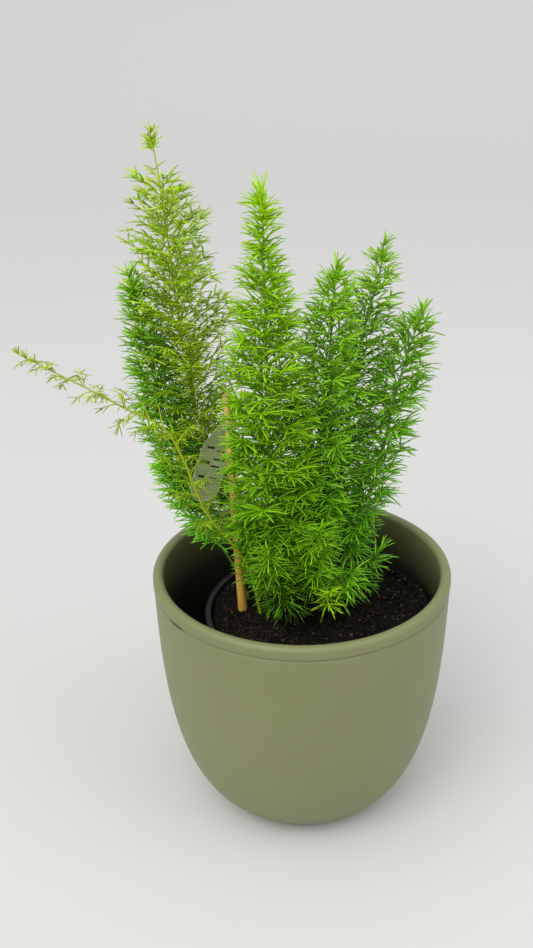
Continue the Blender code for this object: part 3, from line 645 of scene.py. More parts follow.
def crumbTemplate(seed, flat):
    bpy.ops.object.select_all(action="DESELECT")
    bpy.ops.mesh.primitive_ico_sphere_add(subdivisions=1, radius=0.5)
    bpy.ops.object.mode_set(mode="EDIT")
    bpy.ops.mesh.select_all(action="SELECT")
    bpy.ops.transform.vertex_random(offset=0.16, seed=seed)
    bpy.ops.transform.resize(value=(1.0, 0.8, flat))
    bpy.ops.object.mode_set(mode="OBJECT")
    return meshArrays(bpy.context.object)


def scatteredCopies(name, templates, places):
    # places: template number, turn matrix, spot, tone
    verts, faces, tones = [], [], []
    offset = 0
    for number, turn, spot, tone in places:
        shape, corners = templates[number]
        verts.append(shape @ np.array(turn).T + np.array(spot))
        faces += [[corner + offset for corner in face] for face in corners]
        tones += [tone] * len(shape)
        offset += len(shape)
    piece = meshFrom(name, np.concatenate(verts), faces)
    carry(piece, "tone", "FLOAT", tones)
    return piece


def crumbTurn(rng):
    return Matrix.Rotation(rng.uniform(0, 6.28), 3, "Z") @ Matrix.Rotation(rng.uniform(0, 6.28), 3, "X")


def soilSpot(rng, edge=0.0015):
    radius = (nurseryInside(soilShape["height"]) - edge) * math.sqrt(rng.random())
    angle = rng.uniform(0, 2 * math.pi)
    centre = nurseryShape["centre"]
    return centre.x + radius * math.cos(angle), centre.y + radius * math.sin(angle)


def makeCrumbMaterial():
    material, tree, shader = newMaterial("soilCrumb")
    tone = addNode(tree, "ShaderNodeAttribute", (-500, 200), attribute_name="tone")
    ramp = addNode(tree, "ShaderNodeValToRGB", (-300, 200))
    rampColours(ramp, soilFinish["crumbs"])
    wire(tree, (tone, "Fac", ramp, "Fac"), (ramp, "Color", shader, "Base Color"))
    setSockets(shader, {"Roughness": 0.8, "Specular IOR Level": 0.2})
    addBump(tree, shader, addMottle(tree, (0, 0, 0), (1, 1, 1), 900.0, 2500.0), 0.5, 0.0003)
    return material


def buildSoil():
    rng = random.Random(soilShape["seed"])
    wall = nurseryShape["wall"]
    shoulder = nurseryFoot + nurseryShape["shoulderRise"]
    edgeHeight = soilShape["height"] - soilShape["edgeDrop"]
    clear = 2 * gapBetween
    base = nurseryShape["baseRadius"] - wall - gapBetween
    profile = [(base * 0.5, nurseryFoot + wall + gapBetween), (base, nurseryFoot + wall + gapBetween),
               (nurseryInside(shoulder) - clear, shoulder), (nurseryInside(edgeHeight) - clear, edgeHeight)]
    outer = nurseryInside(edgeHeight) - soilShape["edgeInset"]
    for i in range(soilShape["rings"]):
        profile.append((outer * (1 - i / soilShape["rings"]), soilShape["height"]))
    bed = turnedPiece(profile, soilShape["sides"])
    bed.location = nurseryShape["centre"]
    applyAll(bed)
    for vert in bed.data.vertices:
        if vert.co.z > edgeHeight + 0.0005:
            vert.co.z = soilSurface(vert.co.x, vert.co.y)
    bpy.ops.object.shade_smooth()
    earth = makeSoil("soilEarth", soilFinish["earth"], soilFinish["earthRoughness"])
    dress(bed, "soilBed", earth, "potting_mix", "soil")

    templates = [crumbTemplate(seed, flat) for seed, flat in ((1, 0.8), (2, 0.65), (3, 0.9), (4, 0.5))]
    places = []
    least, more = soilShape["crumbSize"]
    for i in range(soilShape["crumbs"]):
        x, y = soilSpot(rng)
        size = least + more * rng.random() ** 3
        turn = crumbTurn(rng)
        lift = soilSurface(x, y) + size * rng.uniform(-0.1, 0.35)
        places.append((rng.randrange(4), turn * size, (x, y, lift), rng.random()))
    centre, rimHeight = nurseryShape["centre"], nurseryShape["rimHeight"]
    least, more = soilShape["rimCrumbSize"]
    for i in range(soilShape["spilled"]):      # crumbs that lie on the rim
        angle = soilShape["spillTurn"] + rng.uniform(-soilShape["spillReach"], soilShape["spillReach"])
        radius = rng.uniform(nurseryInside(rimHeight) - 0.0025, nurseryShape["rimRadius"] - 0.0004)
        size = least + more * rng.random() ** 2
        turn = crumbTurn(rng)
        number = rng.randrange(4)
        spot = (centre.x + radius * math.cos(angle), centre.y + radius * math.sin(angle),
                rimHeight + size * rng.uniform(0.20, 0.38))
        places.append((number, turn * size, spot, rng.random() * 0.96))
    crumbs = scatteredCopies("crumbs", templates, places)
    dress(crumbs, "soilCrumbs", makeCrumbMaterial(), "potting_mix")

    strands = []
    for i in range(soilShape["fibres"]):
        x, y = soilSpot(rng, 0.004)
        if rng.random() < 0.5:           # most of the coir shows at the front left
            x, y = (at + rng.gauss(0, spread) for at, spread in
                    zip(soilShape["coirSpot"], soilShape["coirSpread"]))
            if math.hypot(x - centre.x, y - centre.y) > soilShape["coirReach"]:
                continue
        heading = rng.uniform(0, 2 * math.pi)
        length = rng.uniform(*soilShape["fibreLength"])
        bend = rng.uniform(-1.3, 1.3)
        points, radii = [], []
        for k in range(6):
            t = k / 5
            px = x + math.cos(heading + bend * t) * length * (t - 0.5)
            py = y + math.sin(heading + bend * t) * length * (t - 0.5)
            away = Vector((px, py, 0)) - centre
            if away.length > soilShape["fibreReach"]:
                away *= soilShape["fibreReach"] / away.length
                px, py = centre.x + away.x, centre.y + away.y
            arch = 0.0012 * rng.random() * math.sin(math.pi * t)
            points.append((px, py, soilSurface(px, py) + 0.0002 + arch))
            radii.append(rng.uniform(*soilShape["fibreRadius"]))
        strands.append((points, radii))
    fibres = tubesAlong("fibres", strands, 0)
    coir = mottledFinish("soilFibre", soilFinish["coir"], soilFinish["coirScales"],
                         soilFinish["coirRoughness"])
    dress(fibres, "soilFibres", coir, "potting_mix")

    bark = []
    for i in range(soilShape["chips"]):
        x, y = soilSpot(rng, 0.005)
        size = rng.uniform(*soilShape["chipSize"])
        turn = (Matrix.Rotation(rng.uniform(0, 6.28), 3, "Z")
                @ Matrix.Rotation(rng.uniform(-0.5, 0.5), 3, "X") @ Matrix.Diagonal((1.0, 0.55, 0.35)))
        bark.append((rng.randrange(4), turn * size, (x, y, soilSurface(x, y) + size * 0.12), rng.random()))
    chips = scatteredCopies("chips", templates, bark)
    material = makeSoil("barkChip", soilFinish["bark"], soilFinish["barkRoughness"])
    dress(chips, "barkChips", material, "potting_mix")


buildSoil()
print("soil: bed, crumbs, fibres and bark")


# Cane

caneShape = {
    "bottom": Vector((-0.0272, -0.0079, 0.030)), "top": Vector((-0.0350, 0.0060, 0.222)), "radius": 0.00265,
    "sides": 28, "rings": 96, "slimmer": 0.0001, "taper": 0.0004, "wobble": 0.00012,
    "nodeAt": 0.585, "nodeWidth": 0.0011, "nodeSwell": 0.00035,          # one node
    "colours": ((0.60, 0.30, 0.033), (0.90, 0.57, 0.130)), "scales": (900.0, 3800.0), "stretch": 0.045,
    "paleFrom": 0.10, "paleTo": 0.185, "paleTint": (1.05, 1.02, 1.9),    # paler higher up
    "roughness": 0.48,
}


def makeCaneWood():
    # fibres along the cane, and a paler tone towards its top
    material, tree, shader = newMaterial("caneWood")
    carried = addNode(tree, "ShaderNodeAttribute", (-1300, 0), attribute_name="caneGrain")
    stretch = addNode(tree, "ShaderNodeMapping", (-1100, 0), {"Scale": (1.0, 1.0, caneShape["stretch"])})
    wire(tree, (carried, "Vector", stretch, "Vector"))
    fibre = addMottle(tree, *caneShape["colours"], *caneShape["scales"], stretch.outputs["Vector"])
    parts = addNode(tree, "ShaderNodeSeparateXYZ", (-1100, -300))
    rise = addNode(tree, "ShaderNodeMapRange", (-900, -300),
                   {"From Min": caneShape["paleFrom"], "From Max": caneShape["paleTo"]})
    pale = addNode(tree, "ShaderNodeMix", (-250, 150), data_type="RGBA")
    tint = addNode(tree, "ShaderNodeMix", (-450, 300), {"Factor": 1.0},
                   data_type="RGBA", blend_type="MULTIPLY")
    setSockets(tint, {"B": (*caneShape["paleTint"], 1.0)})
    wire(tree, (carried, "Vector", parts, "Vector"), (parts, "Z", rise, "Value"),
         (fibre, "Color", tint, "A"), (fibre, "Color", pale, "A"), (tint, "Result", pale, "B"),
         (rise, "Result", pale, "Factor"), (pale, "Result", shader, "Base Color"))
    setSockets(shader, {"Roughness": caneShape["roughness"]})
    addBump(tree, shader, fibre, 0.35, 0.0003)
    return material


def buildCane():
    run = caneShape["top"] - caneShape["bottom"]
    rings = caneShape["rings"]
    profile = [(caneShape["radius"] * 0.5, 0.0)]
    for i in range(rings + 1):
        t = i / rings
        swell = math.exp(-((t - caneShape["nodeAt"]) * run.length / caneShape["nodeWidth"]) ** 2)
        radius = caneShape["radius"] - caneShape["slimmer"] - caneShape["taper"] * t
        radius += caneShape["nodeSwell"] * swell
        if i in (0, rings):
            radius -= 0.00025          # the ends are eased
        profile.append((radius, run.length * t))
    profile.append((caneShape["radius"] * 0.45, run.length + 0.0001))
    stick = turnedPiece(profile, caneShape["sides"])
    carry(stick, "caneGrain", "FLOAT_VECTOR", [value for v in stick.data.vertices for value in v.co])
    for vert in stick.data.vertices:
        away = Vector((vert.co.x, vert.co.y, 0))
        ripple = noise.noise(Vector((vert.co.x * 700, vert.co.y * 700, vert.co.z * 60)))
        vert.co += away * (ripple * caneShape["wobble"] / caneShape["radius"])
    stick.rotation_mode = "QUATERNION"
    stick.rotation_quaternion = run.to_track_quat("Z", "Y")
    stick.location = caneShape["bottom"]
    applyAll(stick)
    bpy.ops.object.shade_smooth_by_angle(angle=math.radians(50))
    dress(stick, "woodenCane", makeCaneWood(), "cane_wood", "cane")


buildCane()
print("cane: split wood with one node")


# Plant tag

tagShape = {
    "height": 0.2065, "length": 0.0425, "width": 0.0155, "neckWidth": 0.0050, "thickness": 0.0007,
    "run": Vector((-0.33, -0.10, -0.94)), "across": Vector((0.90, 0.38, 0.05)), "bow": 0.0022,
    "curl": 0.0007, "eyeHeight": 0.0030, "rows": 132, "columns": 30,
    "eyeClear": 0.0055, "endClear": 0.002, "edgeClear": 0.001, "faceClear": 0.0022,    # what the needles keep
    "colours": ((0.33, 0.42, 0.20), (0.45, 0.52, 0.28)), "scales": (90.0, 900.0), "roughness": 0.34,
    "barColour": (0.020, 0.030, 0.012),
    # plain bars where a label has its print: how far down it, from the middle, length and width
    "bars": [(0.33, -0.22, 0.0042, 0.0012), (0.52, -0.24, 0.0052, 0.0016), (0.70, -0.24, 0.0034, 0.0012),
             (0.36, 0.16, 0.0040, 0.0009), (0.47, 0.20, 0.0052, 0.0007), (0.56, 0.14, 0.0046, 0.0009),
             (0.60, 0.28, 0.0050, 0.0007), (0.70, 0.16, 0.0036, 0.0009)],
}


def canePoint(height):
    t = (height - caneShape["bottom"].z) / (caneShape["top"].z - caneShape["bottom"].z)
    return caneShape["bottom"].lerp(caneShape["top"], t)


def tagDirections():
    along = (caneShape["top"] - caneShape["bottom"]).normalized()
    run = tagShape["run"].normalized()
    across = (tagShape["across"] - run * tagShape["across"].dot(run)).normalized()
    return along, run, across, run.cross(across)


def tagWidth(t):
    width, neck = tagShape["width"], tagShape["neckWidth"]
    if t < 0.4:
        return neck + (width - neck) * math.sin(t / 0.4 * math.pi / 2)
    if t > 0.80:
        return width * math.sqrt(max(0.03, 1 - ((t - 0.80) / 0.205) ** 2))
    return width


def makeTagPlastic():
    material, tree, shader = newMaterial("tagPlastic")
    mottle = addMottle(tree, *tagShape["colours"], *tagShape["scales"])
    bars = colourOver(tree, mottle, "Color", "bars", tagShape["barColour"], (-200, 100))
    wire(tree, (bars, "Result", shader, "Base Color"))
    setSockets(shader, {"Roughness": tagShape["roughness"]})
    addBump(tree, shader, mottle, 0.1, 0.0003)
    return material


def barShare(t, u):
    # 1 where the face at t down the tongue and u across it (-1 to 1) carries a bar
    down, aside = t * tagShape["length"], u * tagWidth(t) / 2
    for at, middle, length, width in tagShape["bars"]:
        if abs(down - at * tagShape["length"]) < width / 2:
            if abs(aside - middle * tagShape["width"]) < length / 2:
                return 1.0
    return 0.0


def buildTag():
    along, run, across, face = tagDirections()
    middle = canePoint(tagShape["height"])
    inner = caneShape["radius"] + gapBetween + 0.0001
    bpy.ops.object.select_all(action="DESELECT")
    bpy.ops.mesh.primitive_cylinder_add(vertices=36, radius=inner, depth=tagShape["eyeHeight"],
                                        end_fill_type="NOTHING")
    eye = bpy.context.object
    applyModifier(eye, "SOLIDIFY", thickness=tagShape["thickness"], offset=1.0)
    eye.rotation_mode = "QUATERNION"
    eye.rotation_quaternion = along.to_track_quat("Z", "Y")
    eye.location = middle
    applyAll(eye)

    away = (along * face.dot(along) - face).normalized()
    start = middle + away * (inner + tagShape["thickness"] * 0.5)
    length = tagShape["length"]
    path = Course(smoothCurve([start, start + run * (length * 0.5) + away * tagShape["bow"],
                               start + run * length], 22))
    bpy.ops.object.select_all(action="DESELECT")
    bpy.ops.mesh.primitive_grid_add(x_subdivisions=tagShape["columns"], y_subdivisions=tagShape["rows"],
                                    size=1)
    tongue = bpy.context.object
    carry(tongue, "bars", "FLOAT", [barShare(v.co.y + 0.5, v.co.x * 2) for v in tongue.data.vertices])
    for vert in tongue.data.vertices:     # the flat grid is laid along the path
        t = vert.co.y + 0.5
        centre, ahead = path.at(path.length * t)
        half = (across - ahead * across.dot(ahead)).normalized()
        lift = ahead.cross(half)
        u = vert.co.x * 2
        vert.co = centre + half * (u * tagWidth(t) / 2) + lift * (tagShape["curl"] * u * u * min(1.0, t * 2))
    applyModifier(tongue, "SOLIDIFY", thickness=tagShape["thickness"], offset=0.0)
    pickOnly(tongue)
    eye.select_set(True)
    bpy.ops.object.join()
    bpy.ops.object.shade_smooth_by_angle(angle=math.radians(35))
    dress(tongue, "plantTag", makeTagPlastic(), "label_plastic", "plant_label")


buildTag()
print("tag: an eye round the cane and a hanging tongue")


# Leafy stems

leafRules = {
    # twigs: how far apart, how they lean and thin out towards the tip
    "golden": math.radians(137.5), "coarseGap": 0.0066, "fillGap": 0.00092, "leaderLength": 0.012,
    "leanLeast": 54, "leanMost": 70, "leanClosing": 18, "extraLean": 62, "rise": 0.04, "droop": 0.03,
    "needleForward": 0.84, "crowding": 0.64, "thinning": 0.88, "twigRadius": 0.00026,
    "innerShare": 0.74,                                            # how far the twigs between reach
    "stemDepth": 0.012, "stemTaper": 0.74, "stemShare": 0.8,
    # needles: how many in a fan at the side, at the end, and in a main twig's star
    "clusterGap": 0.0036, "cluster": (2, 4), "umbrella": (5, 7), "star": (10, 14),
    "umbrellaSpread": 115, "starSpread": 172, "starClosing": 60, "starGrow": 1.08,
    "side": (20, 85), "aim": (0, 48), "leaderAim": (28, 80), "arch": (0.12, 0.46),   # where they point, droop
    "needleWidth": 0.00100, "needleThickness": 0.00054, "needleSpread": (0.78, 1.08), "tuft": 1.0,
    # painted shade: needles on the inner twigs are darker low on the stem
    "tone": (0.0, 1.0), "shade": 1.0, "paintedInnerShade": 0.35,
    "soilGap": 0.0035, "wallGap": 0.001, "mouth": 0.0696, "caneGap": 0.0004,         # what they keep clear of
}

# what the short shoots at the front share: airy stars of slim needles that arch over
frontLook = {
    "radius": 0.0009, "needle": 0.0105, "aim": (-10, 42), "arch": (0.18, 0.62), "star": (10, 13),
    "cluster": (1, 2), "needleWidth": 0.00078, "needleThickness": 0.00040, "shade": 0.25, "fillGap": 0.00125,
}

# each stem: its node, finish, radius, needle length, bare share at the bottom, the reach of its
# foliage from there to the tip, and its points from the soil up; a value of leafRules can stand in
# it too, for that stem alone
stems = {
    "tallBackFrond": {
        "node": "frond_tall_back", "green": "yellowGreen", "seed": 11, "radius": 0.0011, "needle": 0.0080,
        "leafyFrom": 0.22, "bareBelowTip": (0.0085, 0.0255), "leaderLength": 0.0085, "tuft": 0.95,
        "fillGap": 0.00080, "needleThickness": 0.00042, "needleWidth": 0.00085,
        "reach": (0.018, 0.024, 0.031, 0.031, 0.0245, 0.0165, 0.005),
        "points": [(-0.015, 0.014, 0.107), (-0.028, 0.017, 0.143), (-0.049, 0.020, 0.198),
                   (-0.0565, 0.025, 0.238), (-0.061, 0.028, 0.286), (-0.064, 0.030, 0.318),
                   (-0.0665, 0.030, 0.338)]},
    "darkLeftFrond": {
        "node": "frond_dark_left", "green": "darkGreen", "seed": 12, "radius": 0.0011, "needle": 0.0105,
        "leafyFrom": 0.28, "tone": (0.05, 1.05), "reach": (0.016, 0.019, 0.019, 0.016, 0.013, 0.008),
        "points": [(-0.022, 0.017, 0.107), (-0.035, 0.017, 0.137), (-0.0595, 0.018, 0.180),
                   (-0.0710, 0.020, 0.225), (-0.0758, 0.018, 0.258), (-0.0788, 0.016, 0.276)]},
    "darkLowFrond": {
        "node": "frond_dark_low", "green": "darkGreen", "seed": 13, "radius": 0.0010, "needle": 0.0105,
        "leafyFrom": 0.38, "tone": (0.6, 1.6), "fillGap": 0.00120,
        "reach": (0.012, 0.013, 0.014, 0.012, 0.007),
        "points": [(-0.028, 0.010, 0.107), (-0.037, 0.012, 0.128), (-0.051, 0.013, 0.150),
                   (-0.0625, 0.014, 0.168), (-0.0695, 0.013, 0.184)]},
    "centreFrond": {
        "node": "frond_centre", "green": "brightGreen", "seed": 14, "radius": 0.0012, "needle": 0.0110,
        "leafyFrom": 0.07, "fillGap": 0.00076, "tone": (0.10, 0.82),
        "extra": ((0.10, 190, 0.016), (0.16, 205, 0.018), (0.22, 196, 0.018), (0.28, 208, 0.019),
                  (0.33, 192, 0.018), (0.39, 203, 0.018), (0.45, 190, 0.018), (0.51, 205, 0.017)),
        "reach": (0.025, 0.028, 0.028, 0.0265, 0.0205, 0.0125, 0.0065),
        "points": [(-0.0125, 0.001, 0.107), (-0.0138, -0.006, 0.145), (-0.0143, -0.012, 0.200),
                   (-0.0150, -0.014, 0.250), (-0.0154, -0.014, 0.290), (-0.0154, -0.014, 0.318)]},
    "rightInnerFrond": {
        "node": "frond_right_inner", "green": "midGreen", "seed": 15, "radius": 0.0011, "needle": 0.0110,
        "leafyFrom": 0.12, "tone": (0.1, 1.15), "reach": (0.019, 0.023, 0.024, 0.022, 0.018, 0.010),
        "points": [(0.001, 0.004, 0.107), (0.005, 0.004, 0.150), (0.010, 0.004, 0.204),
                   (0.0138, 0.004, 0.244), (0.0152, 0.004, 0.268), (0.0163, 0.004, 0.282)]},
    "rightTallFrond": {
        "node": "frond_right_tall", "green": "midGreen", "seed": 16, "radius": 0.0012, "needle": 0.0095,
        "leafyFrom": 0.16, "fillGap": 0.00106, "needleWidth": 0.00088,
        "reach": (0.020, 0.023, 0.024, 0.021, 0.016, 0.008),
        "points": [(0.008, 0.012, 0.107), (0.0165, 0.016, 0.150), (0.0254, 0.022, 0.212),
                   (0.0315, 0.025, 0.252), (0.0370, 0.026, 0.272), (0.0388, 0.026, 0.287)]},
    "rightOuterFrond": {
        "node": "frond_right_outer", "green": "darkGreen", "seed": 17, "radius": 0.0011, "needle": 0.0110,
        "leafyFrom": 0.18, "fillGap": 0.00106, "reach": (0.013, 0.015, 0.018, 0.019, 0.017, 0.011),
        "points": [(0.014, 0.005, 0.107), (0.0255, 0.009, 0.142), (0.0392, 0.012, 0.184),
                   (0.0448, 0.012, 0.216), (0.0512, 0.012, 0.242), (0.0562, 0.012, 0.258)]},
    "archingFrond": {
        "node": "frond_arching", "green": "yellowGreen", "seed": 18, "radius": 0.0011, "needle": 0.0055,
        "leafyFrom": 0.27, "fillGap": 0.0034, "tone": (-0.35, 0.70), "needleWidth": 0.00055,
        "needleThickness": 0.00034, "aim": (-60, 12), "arch": (-0.05, 0.15),
        "reach": (0.010, 0.013, 0.014, 0.014, 0.011, 0.009, 0.006),
        "points": [(-0.021, -0.006, 0.107), (-0.025, -0.010, 0.133), (-0.033, -0.012, 0.150),
                   (-0.0457, -0.014, 0.170), (-0.0553, -0.015, 0.199), (-0.063, -0.016, 0.214),
                   (-0.079, -0.017, 0.224), (-0.094, -0.018, 0.2335), (-0.111, -0.018, 0.243),
                   (-0.125, -0.018, 0.251)]},
    "frontLeftShoot": {
        "node": "shoot_front_left", "green": "brightGreen", "seed": 21, **frontLook,
        "leafyFrom": 0.16, "tone": (-0.55, 0.75), "reach": (0.012, 0.015, 0.012, 0.008),
        "points": [(-0.010, -0.008, 0.107), (-0.012, -0.018, 0.128), (-0.014, -0.028, 0.146),
                   (-0.0155, -0.035, 0.160)]},
    "frontCentreShoot": {
        "node": "shoot_front_centre", "green": "brightGreen", "seed": 22, **frontLook,
        "leafyFrom": 0.30, "tone": (-0.3, 0.9), "reach": (0.012, 0.015, 0.013, 0.008),
        "points": [(0.002, -0.005, 0.107), (0.004, -0.014, 0.132), (0.0065, -0.022, 0.152),
                   (0.009, -0.029, 0.168)]},
    "frontLowShoot": {
        "node": "shoot_front_low", "green": "midGreen", "seed": 23, **frontLook,
        # its tone is set low: painted shade, for the shade it lies in under the foliage above
        "leafyFrom": 0.40, "tone": (-1.25, 0.35), "reach": (0.010, 0.013, 0.008),
        "points": [(-0.003, -0.012, 0.107), (-0.0062, -0.022, 0.123), (-0.0100, -0.031, 0.138)]},
    "frontRightShoot": {
        "node": "shoot_front_right", "green": "midGreen", "seed": 24, **frontLook, "needle": 0.0120,
        "leafyFrom": 0.35, "tone": (-0.45, 1.1), "reach": (0.013, 0.016, 0.011),
        "points": [(0.012, -0.004, 0.107), (0.017, -0.012, 0.125), (0.0245, -0.022, 0.140)]},
    "rightLowShoot": {
        "node": "shoot_right_low", "green": "darkGreen", "seed": 25, **frontLook, "needle": 0.0120,
        "leafyFrom": 0.35, "tone": (-0.6, 1.0), "reach": (0.010, 0.012, 0.009),
        "points": [(0.020, 0.003, 0.107), (0.028, 0.003, 0.121), (0.035, 0.003, 0.131),
                   (0.040, 0.003, 0.138)]},
    "limeShoot": {
        "node": "shoot_lime", "green": "lime", "seed": 26, **frontLook, "radius": 0.0008, "needle": 0.0088,
        "star": (7, 9), "umbrella": (4, 6), "fillGap": 0.0022,
        "leafyFrom": 0.55, "tone": (0.2, 1.25), "reach": (0.008, 0.010, 0.008),
        "points": [(0.010, -0.014, 0.107), (0.012, -0.022, 0.121), (0.0145, -0.029, 0.133)]},
}

# record slot, then low, top, fresh tip and stem colours
greens = {
    "yellowGreen": ("foliage_yellow_green", (0.33, 0.60, 0.005), (0.47, 0.70, 0.010), (0.52, 0.74, 0.020),
                    (0.38, 0.46, 0.014)),
    "brightGreen": ("foliage_bright_green", (0.145, 0.49, 0.0015), (0.47, 0.77, 0.002), (0.34, 0.70, 0.012),
                    (0.17, 0.34, 0.030)),
    "midGreen": ("foliage_mid_green", (0.180, 0.58, 0.004), (0.33, 0.60, 0.010), (0.27, 0.60, 0.030),
                 (0.13, 0.27, 0.030)),
    "darkGreen": ("foliage_dark_green", (0.165, 0.56, 0.006), (0.26, 0.54, 0.010), (0.23, 0.55, 0.034),
                  (0.13, 0.27, 0.030)),
    "lime": ("foliage_lime", (0.32, 0.68, 0.002), (0.60, 0.88, 0.012), (0.64, 0.88, 0.030),
             (0.26, 0.40, 0.040)),
}


def makeGreen(name):
    slotName, low, top, fresh, stem = greens[name]
    material, tree, shader = newMaterial(name)
    leaf = addNode(tree, "ShaderNodeGroup", (-400, 0), node_tree=leafGroup)
    setSockets(leaf, {"Low Color": (*low, 1.0), "Top Color": (*top, 1.0), "Fresh Color": (*fresh, 1.0),
                      "Stem Color": (*stem, 1.0)})
    wire(tree, (leaf, "Color", shader, "Base Color"), (leaf, "Roughness", shader, "Roughness"))
    setSockets(shader, {"Specular IOR Level": 0.24})
    return material


def modelNeedle():
    # one needle, 1 long and 1 wide, from a small square face drawn out and pinched to a point
    bpy.ops.object.select_all(action="DESELECT")
    bpy.ops.mesh.primitive_circle_add(vertices=4, radius=0.5, fill_type="NGON", rotation=(0, math.pi / 2, 0))
    needle = bpy.context.object
    applyAll(needle)
    bpy.ops.object.mode_set(mode="EDIT")
    bpy.ops.mesh.select_all(action="SELECT")
    bpy.ops.transform.resize(value=(1, 0.45, 0.45))
    for step, grow in ((0.10, 2.1), (0.38, 1.0), (0.36, 0.90)):
        bpy.ops.mesh.extrude_region_move(TRANSFORM_OT_translate={"value": (step, 0, 0)})
        bpy.ops.transform.resize(value=(1, grow, grow))
    bpy.ops.mesh.extrude_region_move(TRANSFORM_OT_translate={"value": (0.16, 0, 0)})
    bpy.ops.mesh.merge(type="CENTER")
    bpy.ops.mesh.select_all(action="SELECT")
    bpy.ops.mesh.normals_make_consistent(inside=False)
    bpy.ops.object.mode_set(mode="OBJECT")
    return meshArrays(needle)


needleVerts, needleFaces = modelNeedle()
needleVerts[:, 0] -= needleVerts[:, 0].min()
needleVerts[:, 0] /= needleVerts[:, 0].max()


def stemLine(spec, steps=2):
    line = smoothCurve([Vector(p) for p in spec["points"]], steps)
    return [line[0] - Vector((0, 0, leafRules["stemDepth"]))] + line


def ruleOf(spec, key):
    # the stem's own value, or else the common one
    return spec.get(key, leafRules[key])


def leafyCourse(spec):
    # the way up the stem, and where its foliage starts
    course = Course(stemLine(spec)[1:])
    return course, course.length * spec["leafyFrom"]


def reachAt(spec, t):
    stations = spec["reach"]
    place = min(max(t, 0.0), 0.9999) * (len(stations) - 1)
    i = int(place)
    return stations[i] + (stations[i + 1] - stations[i]) * (place - i)


def twigLines(spec, seed, gap):
    # side twigs from the lowest leafy point to the tip: points, share of the way up
    rng = random.Random(seed)
    course, start = leafyCourse(spec)
    bareLow, bareHigh = spec.get("bareBelowTip", (0.0, 0.0))
    s = start
    count = 0
    while s < course.length - ruleOf(spec, "leaderLength") * 0.4:
        t = (s - start) / (course.length - start)
        root, ahead = course.at(s)
        azimuth = count * leafRules["golden"] + rng.uniform(-0.35, 0.35)
        lean = rng.uniform(leafRules["leanLeast"], leafRules["leanMost"]) - leafRules["leanClosing"] * t
        lean = math.radians(lean)
        reach = reachAt(spec, t) * rng.uniform(0.86, 1.08)
        length = (reach - leafRules["needleForward"] * spec["needle"]) / math.sin(lean)
        away = ahead * math.cos(lean) + sideways(ahead, azimuth) * math.sin(lean)
        if gap < leafRules["coarseGap"]:       # the twigs in between stay further in, low on the stem
            length *= leafRules["innerShare"] + (1 - leafRules["innerShare"]) * min(1.0, 1.25 * t)
        length = max(length, 0.0012)
        if not bareLow < course.length - s < bareHigh:
            middle = root + away * (length * 0.5) + Vector((0, 0, leafRules["rise"] * length))
            end = root + away * length - Vector((0, 0, leafRules["droop"] * length))
            yield [root, middle, end], t
        if gap < leafRules["coarseGap"]:
            s += gap * rng.uniform(0.8, 1.2) * (leafRules["crowding"] + leafRules["thinning"] * t)
        else:
            s += gap * rng.uniform(0.8, 1.2)
        count += 1


def extraLines(spec):
    # single twigs that the photo shows apart: share of the way up, azimuth in degrees, length
    course, start = leafyCourse(spec)
    for t, azimuth, length in spec.get("extra", ()):
        root, ahead = course.at(start + (course.length - start) * t)
        lean = math.radians(leafRules["extraLean"])
        away = ahead * math.cos(lean) + sideways(ahead, math.radians(azimuth)) * math.sin(lean)
        end = root + away * length - Vector((0, 0, leafRules["droop"] * length))
        yield [root, root + away * (length * 0.5), end], t


def leaderLine(spec):
    course = leafyCourse(spec)[0]
    low = course.length - ruleOf(spec, "leaderLength")
    return [course.at(low)[0], course.at((low + course.length) / 2)[0], course.at(course.length)[0]]


def nearLine(point, start, end):
    run = end - start
    t = min(max((point - start).dot(run) / run.length_squared, 0.0), 1.0)
    return (point - start - run * t).length


def nearTag(point):
    # within a few millimetres of the hanging tongue's face, or of the eye
    run, across, face = tagDirections()[1:]
    offset = point - canePoint(tagShape["height"])
    if offset.length < tagShape["eyeClear"]:
        return True
    down, aside, out = offset.dot(run), offset.dot(across), -offset.dot(face)
    if not -tagShape["endClear"] < down < tagShape["length"] + tagShape["endClear"]:
        return False
    if abs(aside) > tagShape["width"] / 2 + tagShape["edgeClear"]:
        return False
    middle = caneShape["radius"] + 0.0007 + tagShape["bow"] * math.sin(math.pi * down / tagShape["length"])
    return abs(out - middle) < tagShape["faceClear"]


def inTheClear(root, tip):
    # a needle keeps out of the pots, the soil, the cane and the tag
    caneReach = caneShape["radius"] + leafRules["caneGap"]
    for share in (0.35, 0.7, 1.0):
        point = root.lerp(tip, share)
        if point.z < soilShape["height"] + leafRules["soilGap"]:
            return False
        if point.z < potShape["height"] + leafRules["wallGap"]:
            depth = max(potShape["height"] - point.z, potShape["rimRoll"])
            wall = wallRadius(depth, potShape["innerReach"], potShape["wallThickness"])
            if math.hypot(point.x, point.y) > min(wall, leafRules["mouth"]) - leafRules["wallGap"]:
                return False
        if nearLine(point, caneShape["bottom"], caneShape["top"]) < caneReach:
            return False
        if nearTag(point):
            return False
    return True


